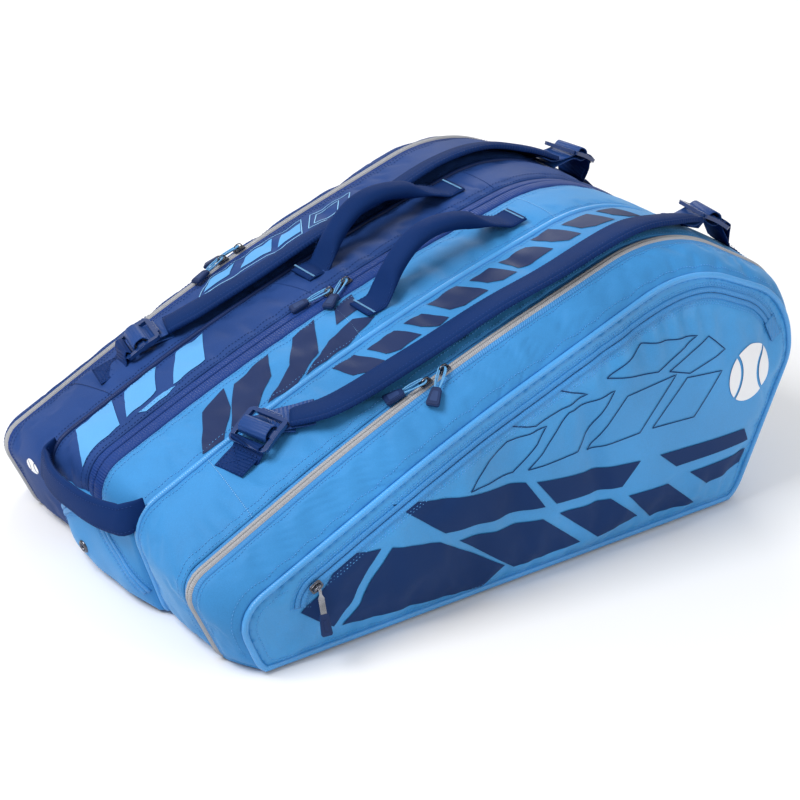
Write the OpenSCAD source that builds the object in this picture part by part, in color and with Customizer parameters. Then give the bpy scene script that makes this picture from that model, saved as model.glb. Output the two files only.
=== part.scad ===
// Twelve-racket tournament bag: three compartments side by side under one arched top.
// +X runs along the bag to the tall racket-head end, -Y is the light blue near side and
// +Z is up. The origin is at the middle of the flat base, on the ground.

/* [Body] */
// Half width at the piping of the outer side panels
panel_y = 240; // [220:1:260]
// Distance of each main zip from the middle plane
zip_y = 193; // [180:1:200]
// Distance of the seams between the middle and the main compartments
seam_y = 90; // [80:1:110]
// Thickness of the padded fabric wall
wall = 4; // [3:0.5:6]
// Thickness of the stiffened base
base_t = 6; // [4:0.5:8]
// How far each pocket panel bulges out of its side
bulge = 16; // [10:1:20]

/* [Zips and piping] */
// Radius of the piping cord
piping_r = 3.5; // [2.5:0.5:5]
// Half width of a zip with both of its tapes
tape_w = 9; // [7:0.5:12]
// Half width of the wide tape over the middle compartment
mid_tape_w = 14.5; // [12:0.5:18]
// Place of the pocket zips, as a share of the way from the middle of the panel to its edge
pocket_share = 0.84; // [0.75:0.01:0.88]

/* [Handles and straps] */
// Height of the carry handles over a line between their feet
handle_rise = 36; // [35:1:60]
// Distance of the carry handles from the middle plane
handle_y = 55; // [45:1:65]
// Width of the shoulder strap pads
pad_w = 46; // [36:1:56]
// Thickness of the shoulder strap pads
pad_t = 11; // [8:1:16]
// Width of the webbing at the strap anchors
webbing_w = 38; // [25:1:42]

/* [Zip pulls] */
// Length of a pull, from its pin to the end of its tab
pull_l = 46; // [35:1:55]
// Length of the moulded tab on a pull
tab_l = 20; // [14:1:24]

/* [Hidden] */
$fn = 48;
gap = 0.4;
foot_z = base_t + gap;
// Side profiles as corner points [x, z] from the handle end, over the top, to the head end
mid_profile = [[-346, 0], [-383, 134], [-113, 258], [207, 337], [383, 239], [391, 165], [308, 0]];
zip_profile = [[-346, 0], [-389, 95], [-120, 230], [207, 337], [383, 239], [391, 165], [308, 0]];
panel_profile = [[-326, 0], [-356, 74], [-98, 194], [202, 305], [354, 235], [363, 165], [292, 0]];
mid_radii = [22, 40, 2200, 185, 100, 60, 40];
zip_radii = [22, 26, 2200, 185, 100, 60, 40];
panel_radii = [30, 32, 2200, 150, 96, 50, 40];
// Number of steps round each corner
corner_steps = [3, 3, 7, 5, 3, 2, 3];
dome_scales = [1, 0.96, 0.9, 0.8, 0.6, 0.3];
main_slider_x = [-77.5, -99.5];
mid_slider_x = [-64, -85];
pocket_slider_x = -272;
pin_z = 4.6;
pin_r = 0.9;
bridge_t = 1.6;
handle_foot = [[-62, 273], [108, 320]];
panel_middle = [0, 120];
// Middle lines of the shoulder straps along the top, as [x, y, extra height]
near_strap = [[-213, -131, 2.6], [-190, -146, 2.2], [-150, -156, 1.6], [-90, -160, 1], [-20, -164, 0.4], [50, -167, 0],
    [110, -167, 0], [160, -168.5, -0.5], [205, -167, -1], [242, -162, 1], [275, -154, 4.6]];
far_strap = [[-214, 128, 1], [-185, 117, 1], [-140, 109, 2.5], [-80, 105, 4], [-10, 104, 4.5], [60, 104, 4.5],
    [115, 105, 4.5], [165, 105.5, 4], [215, 106.5, 3], [262, 107.5, 4], [300, 109, 8.5]];
// Rise of the straps across their width, towards the far side
near_lean = -0.3;
far_lean = -0.45;
// Strap anchors as [x, y, height over the top, tilt along the bag, turn]
anchors = [[-274, -122, 4, 25, 14], [352, -136, 8, -42, -8], [-274, 138, 4, 25, -14], [352, 124, 8, -42, 8]];
// Buckles in the same form
buckles = [[-251, -120, 14, 32, 14], [305, -150, 26, -32, -8], [-243, 134, 14, 32, -14], [332, 111, 31, -29, 8]];

function unit(v) = v / norm(v);
function left(v) = [-v.y, v.x];
function mix(a, b, t) = a * (1 - t) + b * t;

// Share of the zip profile, and then of the panel profile, at a distance y from the middle
function zip_share(y) = pow(min(abs(y), zip_y) / zip_y, 1.5);
function panel_share(y) = pow(max(0, abs(y) - zip_y) / (panel_y - zip_y), 1.4);
function blended(a, b, c, y) = mix(mix(a, b, zip_share(y)), c, panel_share(y));
function profile_at(y) = blended(mid_profile, zip_profile, panel_profile, y);
function radii_at(y) = blended(mid_radii, zip_radii, panel_radii, y);

// Centre, first angle and turn of the rounded corner at v, between p and q
function round_corner(p, v, q, r) = let(
    n0 = left(unit(v - p)),
    n1 = left(unit(q - v)),
    first = atan2(n0.y, n0.x),
    turn = (first - atan2(n1.y, n1.x) + 360) % 360)
    [v - (n0 + n1) * r / (1 + n0 * n1), first, turn];

// Corner i of the profile at y
function corner_at(y, i) = let(v = profile_at(y), last = len(v) - 1)
    round_corner(v[i == 0 ? last : i - 1], v[i], v[i == last ? 0 : i + 1], radii_at(y)[i]);

// Outline over the top at y, standing off by a distance, as [x, z] from foot to foot
function arch_line(y, off) = let(r = radii_at(y), last = len(r) - 1)
    [for (i = [0:last]) let(
        c = corner_at(y, i),
        cut = acos((r[i] - foot_z) / r[i]) / c[2],
        a = i == 0 ? cut : 0,
        b = i == last ? 1 - cut : 1)
        for (k = [0:corner_steps[i]]) let(angle = c[1] - c[2] * mix(a, b, k / corner_steps[i]))
            c[0] + (r[i] + off) * [cos(angle), sin(angle)]];

// Height of the top at a point, from the stretches of the outline
function top_at(x, y) = let(line = arch_line(y, 0))
    max([for (i = [0:len(line) - 2]) let(a = line[i], b = line[i + 1])
        (a.x - x) * (b.x - x) <= 0 && a.x != b.x ? mix(a.y, b.y, (x - a.x) / (b.x - a.x)) : 0]);

// Solid through a list of closed rings; each ring's first half faces its second half
module loft(rings) {
    n = len(rings);
    m = len(rings[0]);
    function at(i, j) = i * m + j % m;
    sides = [for (i = [0:n - 2], j = [0:m - 1], t = [0, 1])
        t == 0 ? [at(i, j), at(i, j + 1), at(i + 1, j + 1)] : [at(i, j), at(i + 1, j + 1), at(i + 1, j)]];
    first = [for (j = [0:ceil(m / 2) - 2], t = [0, 1]) if (t == 0 || j + 1 < m - 2 - j)
        t == 0 ? [j, m - 1 - j, m - 2 - j] : [j, m - 2 - j, j + 1]];
    last = [for (f = first) [at(n - 1, f[0]), at(n - 1, f[2]), at(n - 1, f[1])]];
    polyhedron([for (ring = rings) each ring], concat(sides, first, last));
}

// Piece that runs over the arch from its first point on; its section is a loop of [y, stand-off]
module arch(section, first = 0) {
    lines = [for (s = section) arch_line(s[0], s[1])];
    loft([for (k = [first:len(lines[0]) - 1]) [for (j = [0:len(section) - 1])
        [lines[j][k].x, section[j][0], lines[j][k].y]]]);
}

// Section of a fabric band between two distances from the middle, in a few strips
function strip(y0, y1, low, high, strips) = concat(
    [for (i = [0:strips]) [mix(y0, y1, i / strips), high]],
    [for (i = [strips:-1:0]) [mix(y0, y1, i / strips), low]]);

function disc(r, sides) = [for (i = [0:sides - 1]) r * [cos(360 * i / sides), sin(360 * i / sides)]];

// Oval bar along a path, with its width along the across direction
module bar(path, across, w, t, sides) {
    oval = disc(1, sides);
    last = len(path) - 1;
    loft([for (i = [0:last]) let(
        along = unit(path[min(i + 1, last)] - path[max(i - 1, 0)]),
        side = unit(across - along * (across * along)),
        up = cross(along, side))
        [for (o = oval) path[i] - side * o.x * w / 2 + up * o.y * t / 2]]);
}

module near() {
    mirror([0, 1, 0]) children();
}

// Frame on top of the arc of a zip: x along the zip, z away from the bag
module on_zip(x, y, off) {
    c = corner_at(y, 2)[0];
    r = radii_at(y)[2];
    translate([c.x, 0, c.y]) rotate([0, asin((x - c.x) / r), 0]) translate([0, y, r + off]) children();
}

// Plate standing in the plane of the profile at y, from its outline
module profile_plate(y, off, t) {
    line = arch_line(y, off);
    translate([0, y + t / 2, 0]) rotate([90, 0, 0]) linear_extrude(t) polygon(line);
}

// Base, walls and dividers
module base_panel() {
    feet = [for (y = [0, zip_y, panel_y]) let(line = arch_line(y, -2)) [y, line[0].x, line[len(line) - 1].x]];
    last = len(feet) - 1;
    color("navy") linear_extrude(base_t) polygon(concat(
        [for (i = [-last:last]) let(f = feet[abs(i)]) [f[1], sign(i) * f[0]]],
        [for (i = [last:-1:-last]) let(f = feet[abs(i)]) [f[2], sign(i) * f[0]]]));
}

module divider() {
    color("midnightblue") profile_plate(seam_y, -wall - 1, 2.5);
}

module mid_band() {
    color("navy") arch(strip(mid_tape_w + gap, seam_y - piping_r, -wall, 0, 3));
}

module inner_band() {
    color("dodgerblue") arch(strip(seam_y + piping_r, zip_y - tape_w - gap, -wall, 0, 4));
}

module outer_band() {
    color("deepskyblue") arch(strip(zip_y + tape_w + gap, panel_y - piping_r, -wall, 0, 3));
}

module piping(y) {
    color("steelblue") arch([for (d = disc(piping_r, 8)) [y - d.x * 0.95, d.y]]);
}

module side_wall() {
    color("navy") profile_plate(panel_y - piping_r - 3, -wall - 1.8, 2.5);
}

// Bulging pocket panel: rings of the outline drawn in towards the middle of the panel
function dome_y(share) = panel_y + bulge * (1 - pow(share, 4));

module pocket_panel() {
    line = arch_line(panel_y, -piping_r - gap);
    rings = [for (s = dome_scales) [for (p = line) let(q = mix(panel_middle, p, s)) [q.x, dome_y(s), q.y]]];
    back = [for (p = line) [p.x, panel_y - 2, p.y]];
    color("deepskyblue") loft(concat([back], rings));
}

// Zips
module mid_zip_tape() {
    color("midnightblue") arch(strip(-mid_tape_w, mid_tape_w, -3, -0.5, 4));
}

// The coil shows from the top of the end pocket on
module mid_zip_coil() {
    color("black") arch(strip(-3.5, 3.5, -0.2, 1.8, 2), corner_steps[0] + 1);
}

// Half of a main zip, from the closed edge of its teeth to the seam of its tape
module zip_half(side) {
    edge = zip_y + side * gap / 2;
    bead = zip_y + side * 4.2;
    end = zip_y + side * tape_w;
    outer = [[edge, 1.6], [bead, 1.4], [bead + side * 0.2, -0.4], [end, -0.4]];
    inner = [[end, -2.8], [bead + side * 0.2, -2.8], [bead, -2.8], [edge, -2.8]];
    ring = concat(outer, inner);
    color("silver") arch(side > 0 ? ring : [for (i = [len(ring) - 1:-1:0]) ring[i]]);
}

// Zip along the top edge of a pocket panel, on an arc of its own
pocket_centre = mix(panel_middle, corner_at(panel_y, 2)[0], pocket_share);
pocket_radius = (radii_at(panel_y)[2] - piping_r) * pocket_share;
function pocket_angle(x) = asin((x - pocket_centre.x) / pocket_radius);

module pocket_zip() {
    y0 = dome_y(pocket_share);
    color("silver") loft([for (i = [0:12]) let(
        a = mix(pocket_angle(-290), pocket_angle(130), i / 12),
        d = [sin(a), cos(a)])
        [for (p = [[-4, 3.6], [4, 1.4], [4, -0.4], [-4, 1.6]])
            [pocket_centre.x + (pocket_radius + p.x) * d.x, y0 + p.y, pocket_centre.y + (pocket_radius + p.x) * d.y]]]);
}

// End pocket under the grab handle, with its zip and drain eyelet
pocket_low = 7;
pocket_high = 100;
function end_wall(y, z) = let(v = profile_at(y)) v[0].x + (v[1].x - v[0].x) * z / v[1].y;
function end_rise(y, s) = 18 * (1 - pow(abs(y) / 86, 4)) * sin(180 * pow(s, 0.5));

module end_pocket() {
    color("dodgerblue") loft([for (i = [0:8]) let(
        y = -84 + 168 * i / 8,
        steps = [0.03, 0.25, 0.5, 0.75, 0.96])
        concat([for (s = steps) let(z = mix(pocket_low, pocket_high, s)) [end_wall(y, z) - gap - 1 - end_rise(y, s), y, z]],
            [for (k = [4:-1:0]) let(z = mix(pocket_low, pocket_high, steps[k])) [end_wall(y, z) - gap, y, z]])]);
}

module end_pocket_zip() {
    color("silver") loft([for (i = [0:10]) let(
        y = -80 + 160 * i / 10,
        z = 86 - (y > 0 ? 36 : 60) * pow(y / 82, 2),
        x = end_wall(y, z) - 0.8 - end_rise(y, (z - pocket_low) / (pocket_high - pocket_low)))
        [[x - 1.8, y, z + 4], [x, y, z + 4], [x, y, z - 4], [x - 1.8, y, z - 4]]]);
}

module vent_eyelet() {
    color("gray") translate([-374, 30, 33]) rotate([0, -98, 0]) difference() {
        cylinder(h = 2.4, r = 7.5);
        translate([0, 0, -1]) cylinder(h = 5, r = 4);
    }
}

// Straps, their anchors and ladder-lock buckles
module strap_pad(points, lean) {
    path = [for (p = points) [p.x, p.y, top_at(p.x, p.y) + pad_t / 2 + 6 + p.z]];
    color("navy") bar(path, unit([0, 1, lean]), pad_w, pad_t, 10);
}

module placed(p) {
    translate([p[0], p[1], top_at(p[0], p[1]) + p[2]]) rotate([0, 0, p[4]]) rotate([0, -p[3], 0]) children();
}

module strap_anchor(i) {
    color("midnightblue") placed(anchors[i]) translate([-22, -webbing_w / 2, 0]) cube([44, webbing_w, 2.4]);
}

module buckle(i) {
    color("royalblue") placed(buckles[i]) linear_extrude(4.5) difference() {
        square([44, 52], center = true);
        for (x = [-11, 11]) translate([x, 0]) square([12, 40], center = true);
    }
}

// Webbing sewn down under each foot of the carry handles
module handle_patches() {
    color("navy") for (side = [-1, 1], i = [0, 1])
        placed([handle_foot[i].x + (i == 0 ? -20 : 20), side * handle_y, 1.5, i == 0 ? 19 : 14.5, 0])
            translate([-14, -18, 0]) cube([28, 36, 1.8]);
}

// Carry handle: a steep leg, a padded grip and a long leg that runs out along the top
module carry_handle() {
    ends = [for (f = handle_foot) [f.x, handle_y, f.y]];
    path = [for (i = [0:16]) let(u = (1 - cos(180 * i / 16)) / 2)
        mix(ends[0], ends[1], u) + [-8 * sin(180 * u), 0, 3 + handle_rise * pow(sin(180 * pow(u, 0.8)), 0.8)]];
    color("navy") bar(path, [0, 1, 0], 25, 15, 10);
}

module grab_handle() {
    path = [for (i = [0:14]) let(y = -84 + 168 * i / 14, s = 1 - pow(abs(y) / 84, 2.4))
        [-387 - 16 * s, y, 116 - 10 * s]];
    color("navy") bar(path, [0.25, 0, 1], 32, 10, 10);
}

// Zip slider with a bridge for its pull
module slider() {
    color("dimgray") {
        linear_extrude(1.8)
            polygon([[-7, -3.4], [-3, -4.6], [5, -4.6], [7, -3], [7, 3], [5, 4.6], [-3, 4.6], [-7, 3.4]]);
        translate([0, bridge_t / 2, 0]) rotate([90, 0, 0]) linear_extrude(bridge_t) difference() {
            polygon([[-4.7, 1.7], [-4.2, 7.8], [4.2, 7.8], [4.7, 1.7]]);
            translate([0, pin_z]) square([6.8, 4], center = true);
        }
    }
}

// Pull in the frame of its slider: a pin through the bridge, two cords and a moulded tab
module pull(turn, dip, roll) {
    color("navy") translate([0, 0, pin_z]) rotate([roll, 0, 0]) rotate([0, 0, turn]) rotate([0, -dip, 0]) {
        rotate([90, 0, 0]) cylinder(h = 11, r = pin_r, center = true);
        for (y = [-4.4, 4.4]) translate([-pull_l + tab_l, y, 0]) rotate([0, 90, 0])
            cylinder(h = pull_l - tab_l + 0.3, r = 0.8);
        translate([-pull_l, 0, -1.6]) linear_extrude(3.2)
            polygon([[0, -7], [tab_l + 1, -5.4], [tab_l + 1, 5.4], [0, 7]]);
    }
}

// Pull of a pocket zip: a pin through the bridge and a plate with a moulded end on one side of it
module pocket_pull() {
    color("navy") translate([0, 0, pin_z]) {
        translate([0, 4, 0]) rotate([90, 0, 0]) cylinder(h = 6.2, r = pin_r);
        translate([0, 3.4, -1.1]) rotate([0, 0, -60]) linear_extrude(2.2)
            polygon([[1, -1.5], [-5, -1.5], [-9, -3.2], [-24, -3.2], [-25, -4.4], [-pull_l, -5.6],
                [-pull_l, 5.6], [-25, 4.4], [-24, 3.2], [-9, 3.2], [-5, 1.5], [1, 1.5]]);
    }
}

module on_main_zip(i) {
    on_zip(main_slider_x[i], zip_y, 2.6) rotate([-8, 0, 0]) children();
}

module on_mid_zip(i) {
    on_zip(mid_slider_x[i], 0, 2.8) children();
}

// Frame on a pocket zip, with z away from the side of the bag
module on_pocket_zip() {
    translate([pocket_centre.x, 0, pocket_centre.y]) rotate([0, pocket_angle(pocket_slider_x), 0])
        translate([0, dome_y(pocket_share), pocket_radius]) rotate([-66, 0, 0]) translate([0, 0, 3.8]) children();
}

base_panel();
near() divider();  // near_divider
divider();  // far_divider
near() mid_band();  // mid_near_band
mid_band();  // mid_far_band
near() inner_band();  // near_inner_band
inner_band();  // far_inner_band
near() piping(seam_y);  // near_piping
piping(seam_y);  // far_piping
mid_zip_tape();
mid_zip_coil();
near() zip_half(-1);  // near_zip_inner
zip_half(-1);  // far_zip_inner
end_pocket();
end_pocket_zip();
vent_eyelet();
strap_pad(near_strap, near_lean);  // near_strap_pad
strap_pad(far_strap, far_lean);  // far_strap_pad
strap_anchor(0);  // near_front_anchor
strap_anchor(1);  // near_rear_anchor
strap_anchor(2);  // far_front_anchor
strap_anchor(3);  // far_rear_anchor
buckle(0);  // near_front_buckle
buckle(1);  // near_rear_buckle
buckle(2);  // far_front_buckle
buckle(3);  // far_rear_buckle
handle_patches();
near() outer_band();  // near_outer_band
near() side_wall();  // near_side_wall
near() pocket_panel();  // near_pocket_panel
near() piping(panel_y);  // near_panel_piping
near() zip_half(1);  // near_zip_outer
near() pocket_zip();  // near_pocket_zip
outer_band();  // far_outer_band
side_wall();  // far_side_wall
pocket_panel();  // far_pocket_panel
piping(panel_y);  // far_panel_piping
zip_half(1);  // far_zip_outer
pocket_zip();  // far_pocket_zip
near() carry_handle();  // near_carry_handle
carry_handle();  // far_carry_handle
grab_handle();
near() on_main_zip(0) slider();  // near_slider_front
near() on_main_zip(1) slider();  // near_slider_rear
on_mid_zip(0) slider();  // mid_slider_front
on_mid_zip(1) slider();  // mid_slider_rear
on_main_zip(0) slider();  // far_slider_front
on_main_zip(1) slider();  // far_slider_rear
near() on_pocket_zip() slider();  // near_pocket_slider
on_pocket_zip() slider();  // far_pocket_slider
near() on_main_zip(0) pull(-35, 7, -12);  // near_pull_front
near() on_main_zip(1) pull(14, 5, 0);  // near_pull_rear
on_mid_zip(0) pull(28, 5, 0);  // mid_pull_front
on_mid_zip(1) pull(-14, 5, 0);  // mid_pull_rear
on_main_zip(0) pull(-35, 7, -12);  // far_pull_front
on_main_zip(1) pull(14, 5, 0);  // far_pull_rear
near() on_pocket_zip() pocket_pull();  // near_pocket_pull
on_pocket_zip() pocket_pull();  // far_pocket_pull
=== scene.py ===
"""Looks of the twelve-racket tournament bag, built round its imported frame. All lengths are in metres."""
import math

import bpy
import numpy as np
from mathutils import Matrix, Vector
from mathutils.bvhtree import BVHTree
from mathutils.geometry import delaunay_2d_cdt

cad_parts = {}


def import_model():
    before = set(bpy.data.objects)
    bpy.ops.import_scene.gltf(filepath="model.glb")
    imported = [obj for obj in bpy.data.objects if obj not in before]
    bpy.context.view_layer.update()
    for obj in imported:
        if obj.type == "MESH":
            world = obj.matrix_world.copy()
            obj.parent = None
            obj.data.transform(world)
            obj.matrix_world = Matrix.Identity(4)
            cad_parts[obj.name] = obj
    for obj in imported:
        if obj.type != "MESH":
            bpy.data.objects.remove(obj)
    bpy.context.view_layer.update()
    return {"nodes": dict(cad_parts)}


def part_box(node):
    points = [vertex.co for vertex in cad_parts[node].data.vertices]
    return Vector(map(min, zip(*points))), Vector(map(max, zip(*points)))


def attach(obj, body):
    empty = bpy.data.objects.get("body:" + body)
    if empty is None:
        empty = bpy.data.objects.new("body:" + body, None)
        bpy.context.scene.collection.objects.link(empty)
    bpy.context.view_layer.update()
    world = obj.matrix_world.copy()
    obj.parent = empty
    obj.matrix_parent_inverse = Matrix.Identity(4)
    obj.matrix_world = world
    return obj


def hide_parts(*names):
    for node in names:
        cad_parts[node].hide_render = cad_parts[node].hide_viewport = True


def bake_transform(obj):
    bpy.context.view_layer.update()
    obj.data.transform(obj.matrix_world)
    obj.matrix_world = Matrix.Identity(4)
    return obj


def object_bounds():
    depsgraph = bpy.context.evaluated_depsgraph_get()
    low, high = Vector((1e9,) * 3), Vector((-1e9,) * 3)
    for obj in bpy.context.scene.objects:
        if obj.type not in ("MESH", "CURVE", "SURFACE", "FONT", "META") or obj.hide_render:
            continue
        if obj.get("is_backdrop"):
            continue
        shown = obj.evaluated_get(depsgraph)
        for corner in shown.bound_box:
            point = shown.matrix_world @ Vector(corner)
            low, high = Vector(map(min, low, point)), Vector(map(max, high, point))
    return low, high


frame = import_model()
MM = 0.001
UP = np.array([0.0, 0.0, 1.0])

# Shape of the bag: side profiles as corner points (x, z) in millimetres, handle end first
ZIP_Y, PANEL_Y, SEAM_Y = 0.193, 0.240, 0.090
BULGE, PIPING_R, WALL = 0.016, 0.0035, 0.003
MID_PROFILE = [(-346, 0), (-383, 134), (-113, 258), (207, 337), (383, 239), (391, 165), (308, 0)]
ZIP_PROFILE = [(-346, 0), (-389, 95), (-120, 230), (207, 337), (383, 239), (391, 165), (308, 0)]
PANEL_PROFILE = [(-326, 0), (-356, 74), (-98, 194), (202, 305), (354, 235), (363, 165), (292, 0)]
MID_RADII = [22, 40, 2200, 185, 100, 60, 40]
ZIP_RADII = [22, 26, 2200, 185, 100, 60, 40]
PANEL_RADII = [30, 32, 2200, 150, 96, 50, 40]
FOOT_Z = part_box("base_panel")[1].z + 0.0004
STEP = 0.0078
PANEL_MIDDLE = np.array([0.0, 0.120])
POCKET_SHARE, POCKET_END_SHARE = 0.84, 0.945    # pocket zip between the panel's middle and its edge
NEAR, FAR = -1, 1
SIDE_NAME = {NEAR: "near", FAR: "far"}
STITCH_PITCH, STITCH_LENGTH, STITCH_R = 0.0042, 0.0031, 0.00045
CLOSE_STITCHES = dict(pitch=0.0026, length=0.0026, r=0.0005)
BAR_TACK = dict(pitch=0.0016, length=0.0016, r=0.0006)
SEW_LIFT, PRINT_LIFT = 0.0006, 0.0007        # how far rows of stitches and prints lie over the cloth
MAIN_SLIDER_X = (-0.0775, -0.0995)           # front and rear slider of each zip, at rest
MID_SLIDER_X = (-0.064, -0.085)
POCKET_SLIDER_X = -0.272


# Each side's materials (cloth, panel, tape, cord, yarn and short seams) and slot of its fabric
LOOK = {NEAR: dict(mat="blue", panel="blue_panel", tape="blue_tape", cord="light_piping", yarn="blue_thread",
                   seam="pale_thread", slot="blue_fabric"),
        FAR: dict(mat="navy", panel="navy", tape="navy_tape", cord="dark_piping", yarn="navy_thread",
                  seam="navy_thread", slot="navy_fabric")}


# ---------------------------------------------------------------- shape of the bag
def unit(v):
    v = np.asarray(v, float)
    return v / np.maximum(np.linalg.norm(v, axis=-1, keepdims=True), 1e-12)


def run_length(line):
    """Distance along a line to each of its points."""
    return np.concatenate([[0], np.cumsum(np.linalg.norm(np.diff(line, axis=0), axis=1))])


def evenly(line, count, values=None):
    """Evenly spaced points along a line, or what its values come to there."""
    d = run_length(line)
    at = np.linspace(0, d[-1], count)
    return np.stack([np.interp(at, d, column) for column in (line if values is None else values).T], 1)


def resample(points, spacing, normals=None):
    """Points a set distance apart along a line, with their normals if it has them."""
    count = max(2, int(run_length(points)[-1] / spacing) + 1)
    out = evenly(points, count)
    return out if normals is None else (out, unit(evenly(points, count, normals)))


def blended(mid, zip_line, panel, y):
    """The bag's cross-section blends from its middle to the zips and on to the panels."""
    mid, zip_line, panel = (np.array(a, float) * MM for a in (mid, zip_line, panel))
    a = (min(abs(y), ZIP_Y) / ZIP_Y) ** 1.5
    b = (max(0.0, abs(y) - ZIP_Y) / (PANEL_Y - ZIP_Y)) ** 1.4
    return (mid * (1 - a) + zip_line * a) * (1 - b) + panel * b


def corners(y):
    """Centre, radius, first angle and turn of each rounded corner of the profile at y."""
    points = blended(MID_PROFILE, ZIP_PROFILE, PANEL_PROFILE, y)
    radii = blended(MID_RADII, ZIP_RADII, PANEL_RADII, y)
    found = []
    for i, v in enumerate(points):
        before = unit(v - points[i - 1])
        after = unit(points[(i + 1) % len(points)] - v)
        n0 = np.array([-before[1], before[0]])
        n1 = np.array([-after[1], after[0]])
        first = math.atan2(n0[1], n0[0])
        turn = (first - math.atan2(n1[1], n1[0])) % (2 * math.pi)
        found.append((v - (n0 + n1) * radii[i] / (1 + n0 @ n1), radii[i], first, turn))
    cut = [math.acos((c[1] - FOOT_Z) / c[1]) for c in (found[0], found[-1])]
    c, r, first, turn = found[0]
    found[0] = (c, r, first - cut[0], turn - cut[0])
    c, r, first, turn = found[-1]
    found[-1] = (c, r, first, turn - cut[1])
    return found


def step_counts(spacing):
    """Steps round each corner and along each straight, the same at every y."""
    found = corners(ZIP_Y)
    arcs = [max(3, round(r * turn / spacing)) for _, r, _, turn in found]
    on_circle = lambda c, r, a: c + r * np.array([math.cos(a), math.sin(a)])
    ends = [(on_circle(c, r, a), on_circle(c, r, a - t)) for c, r, a, t in found]
    straights = [max(1, round(np.linalg.norm(ends[i + 1][0] - ends[i][1]) / spacing))
                 for i in range(len(found) - 1)]
    return arcs, straights


STEPS = step_counts(STEP)


def arch(y, steps=STEPS):
    """Points and outward normals over the top at y, from foot to foot, as (n, 3) arrays."""
    arcs, straights = steps
    points, normals = [], []
    for i, (c, r, first, turn) in enumerate(corners(y)):
        angles = first - turn * np.linspace(0, 1, arcs[i] + 1)
        n = np.stack([np.cos(angles), np.sin(angles)], 1)
        p = c + r * n
        if i:
            t = np.linspace(0, 1, straights[i - 1] + 1)[1:-1, None]
            points.append(points[-1][-1] * (1 - t) + p[0] * t)
            normals.append(np.repeat(n[:1], len(t), 0))
        points.append(p)
        normals.append(n)
    p, n = np.concatenate(points), np.concatenate(normals)
    return np.insert(p, 1, y, axis=1), np.insert(n, 1, 0.0, axis=1)


def arch_at(y, x):
    """Point and in-plane normal on the top at a given x."""
    p, n = arch(y)
    top = int(np.argmax(p[:, 2]))
    rows = slice(int(np.argmin(p[:top, 0])), top + int(np.argmax(p[top:, 0])) + 1)
    return (np.array([np.interp(x, p[rows, 0], p[rows, k]) for k in range(3)]),
            unit(np.array([np.interp(x, p[rows, 0], n[rows, k]) for k in range(3)])))


def zip_centre(y):
    """Centre and radius of the long arc of the profile at y."""
    c, r, _, _ = corners(y)[2]
    return c, r


# ---------------------------------------------------------------- materials
def new_material(name):
    mat = bpy.data.materials.new(name)
    mat.use_nodes = True
    nodes = mat.node_tree.nodes
    return mat, nodes, mat.node_tree.links, nodes["Principled BSDF"]


def ramp(nodes, links, source, stops):
    """Colour that follows a value, by (place, colour) stops."""
    node = nodes.new("ShaderNodeValToRGB")
    while len(node.color_ramp.elements) < len(stops):
        node.color_ramp.elements.new(0.5)
    for element, (place, colour) in zip(node.color_ramp.elements, stops):
        element.position = place
        element.color = (*colour, 1)
    links.new(source, node.inputs["Fac"])
    return node.outputs["Color"]


def noise_node(nodes, links, vector, scale, detail=4.0, rough=0.55):
    node = nodes.new("ShaderNodeTexNoise")
    node.inputs["Scale"].default_value = scale
    node.inputs["Detail"].default_value = detail
    node.inputs["Roughness"].default_value = rough
    links.new(vector, node.inputs["Vector"])
    return node.outputs["Fac"]


def math_node(nodes, links, kind, a, b):
    """Sum or product of two values, each a number or a node's output."""
    node = nodes.new("ShaderNodeMath")
    node.operation = kind
    for socket, value in zip(node.inputs, (a, b)):
        if isinstance(value, (int, float)):
            socket.default_value = value
        else:
            links.new(value, socket)
    return node.outputs[0]


def set_roughness(nodes, links, shader, source, low, high):
    node = nodes.new("ShaderNodeMapRange")
    node.inputs["To Min"].default_value = low
    node.inputs["To Max"].default_value = high
    links.new(source, node.inputs["Value"])
    links.new(node.outputs["Result"], shader.inputs["Roughness"])


def set_bump(nodes, links, shader, height, strength, distance):
    node = nodes.new("ShaderNodeBump")
    node.inputs["Strength"].default_value = strength
    node.inputs["Distance"].default_value = distance
    links.new(height, node.inputs["Height"])
    links.new(node.outputs["Normal"], shader.inputs["Normal"])


def scaled(colour, k):
    return tuple(min(1.0, c * k) for c in colour)


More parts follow.
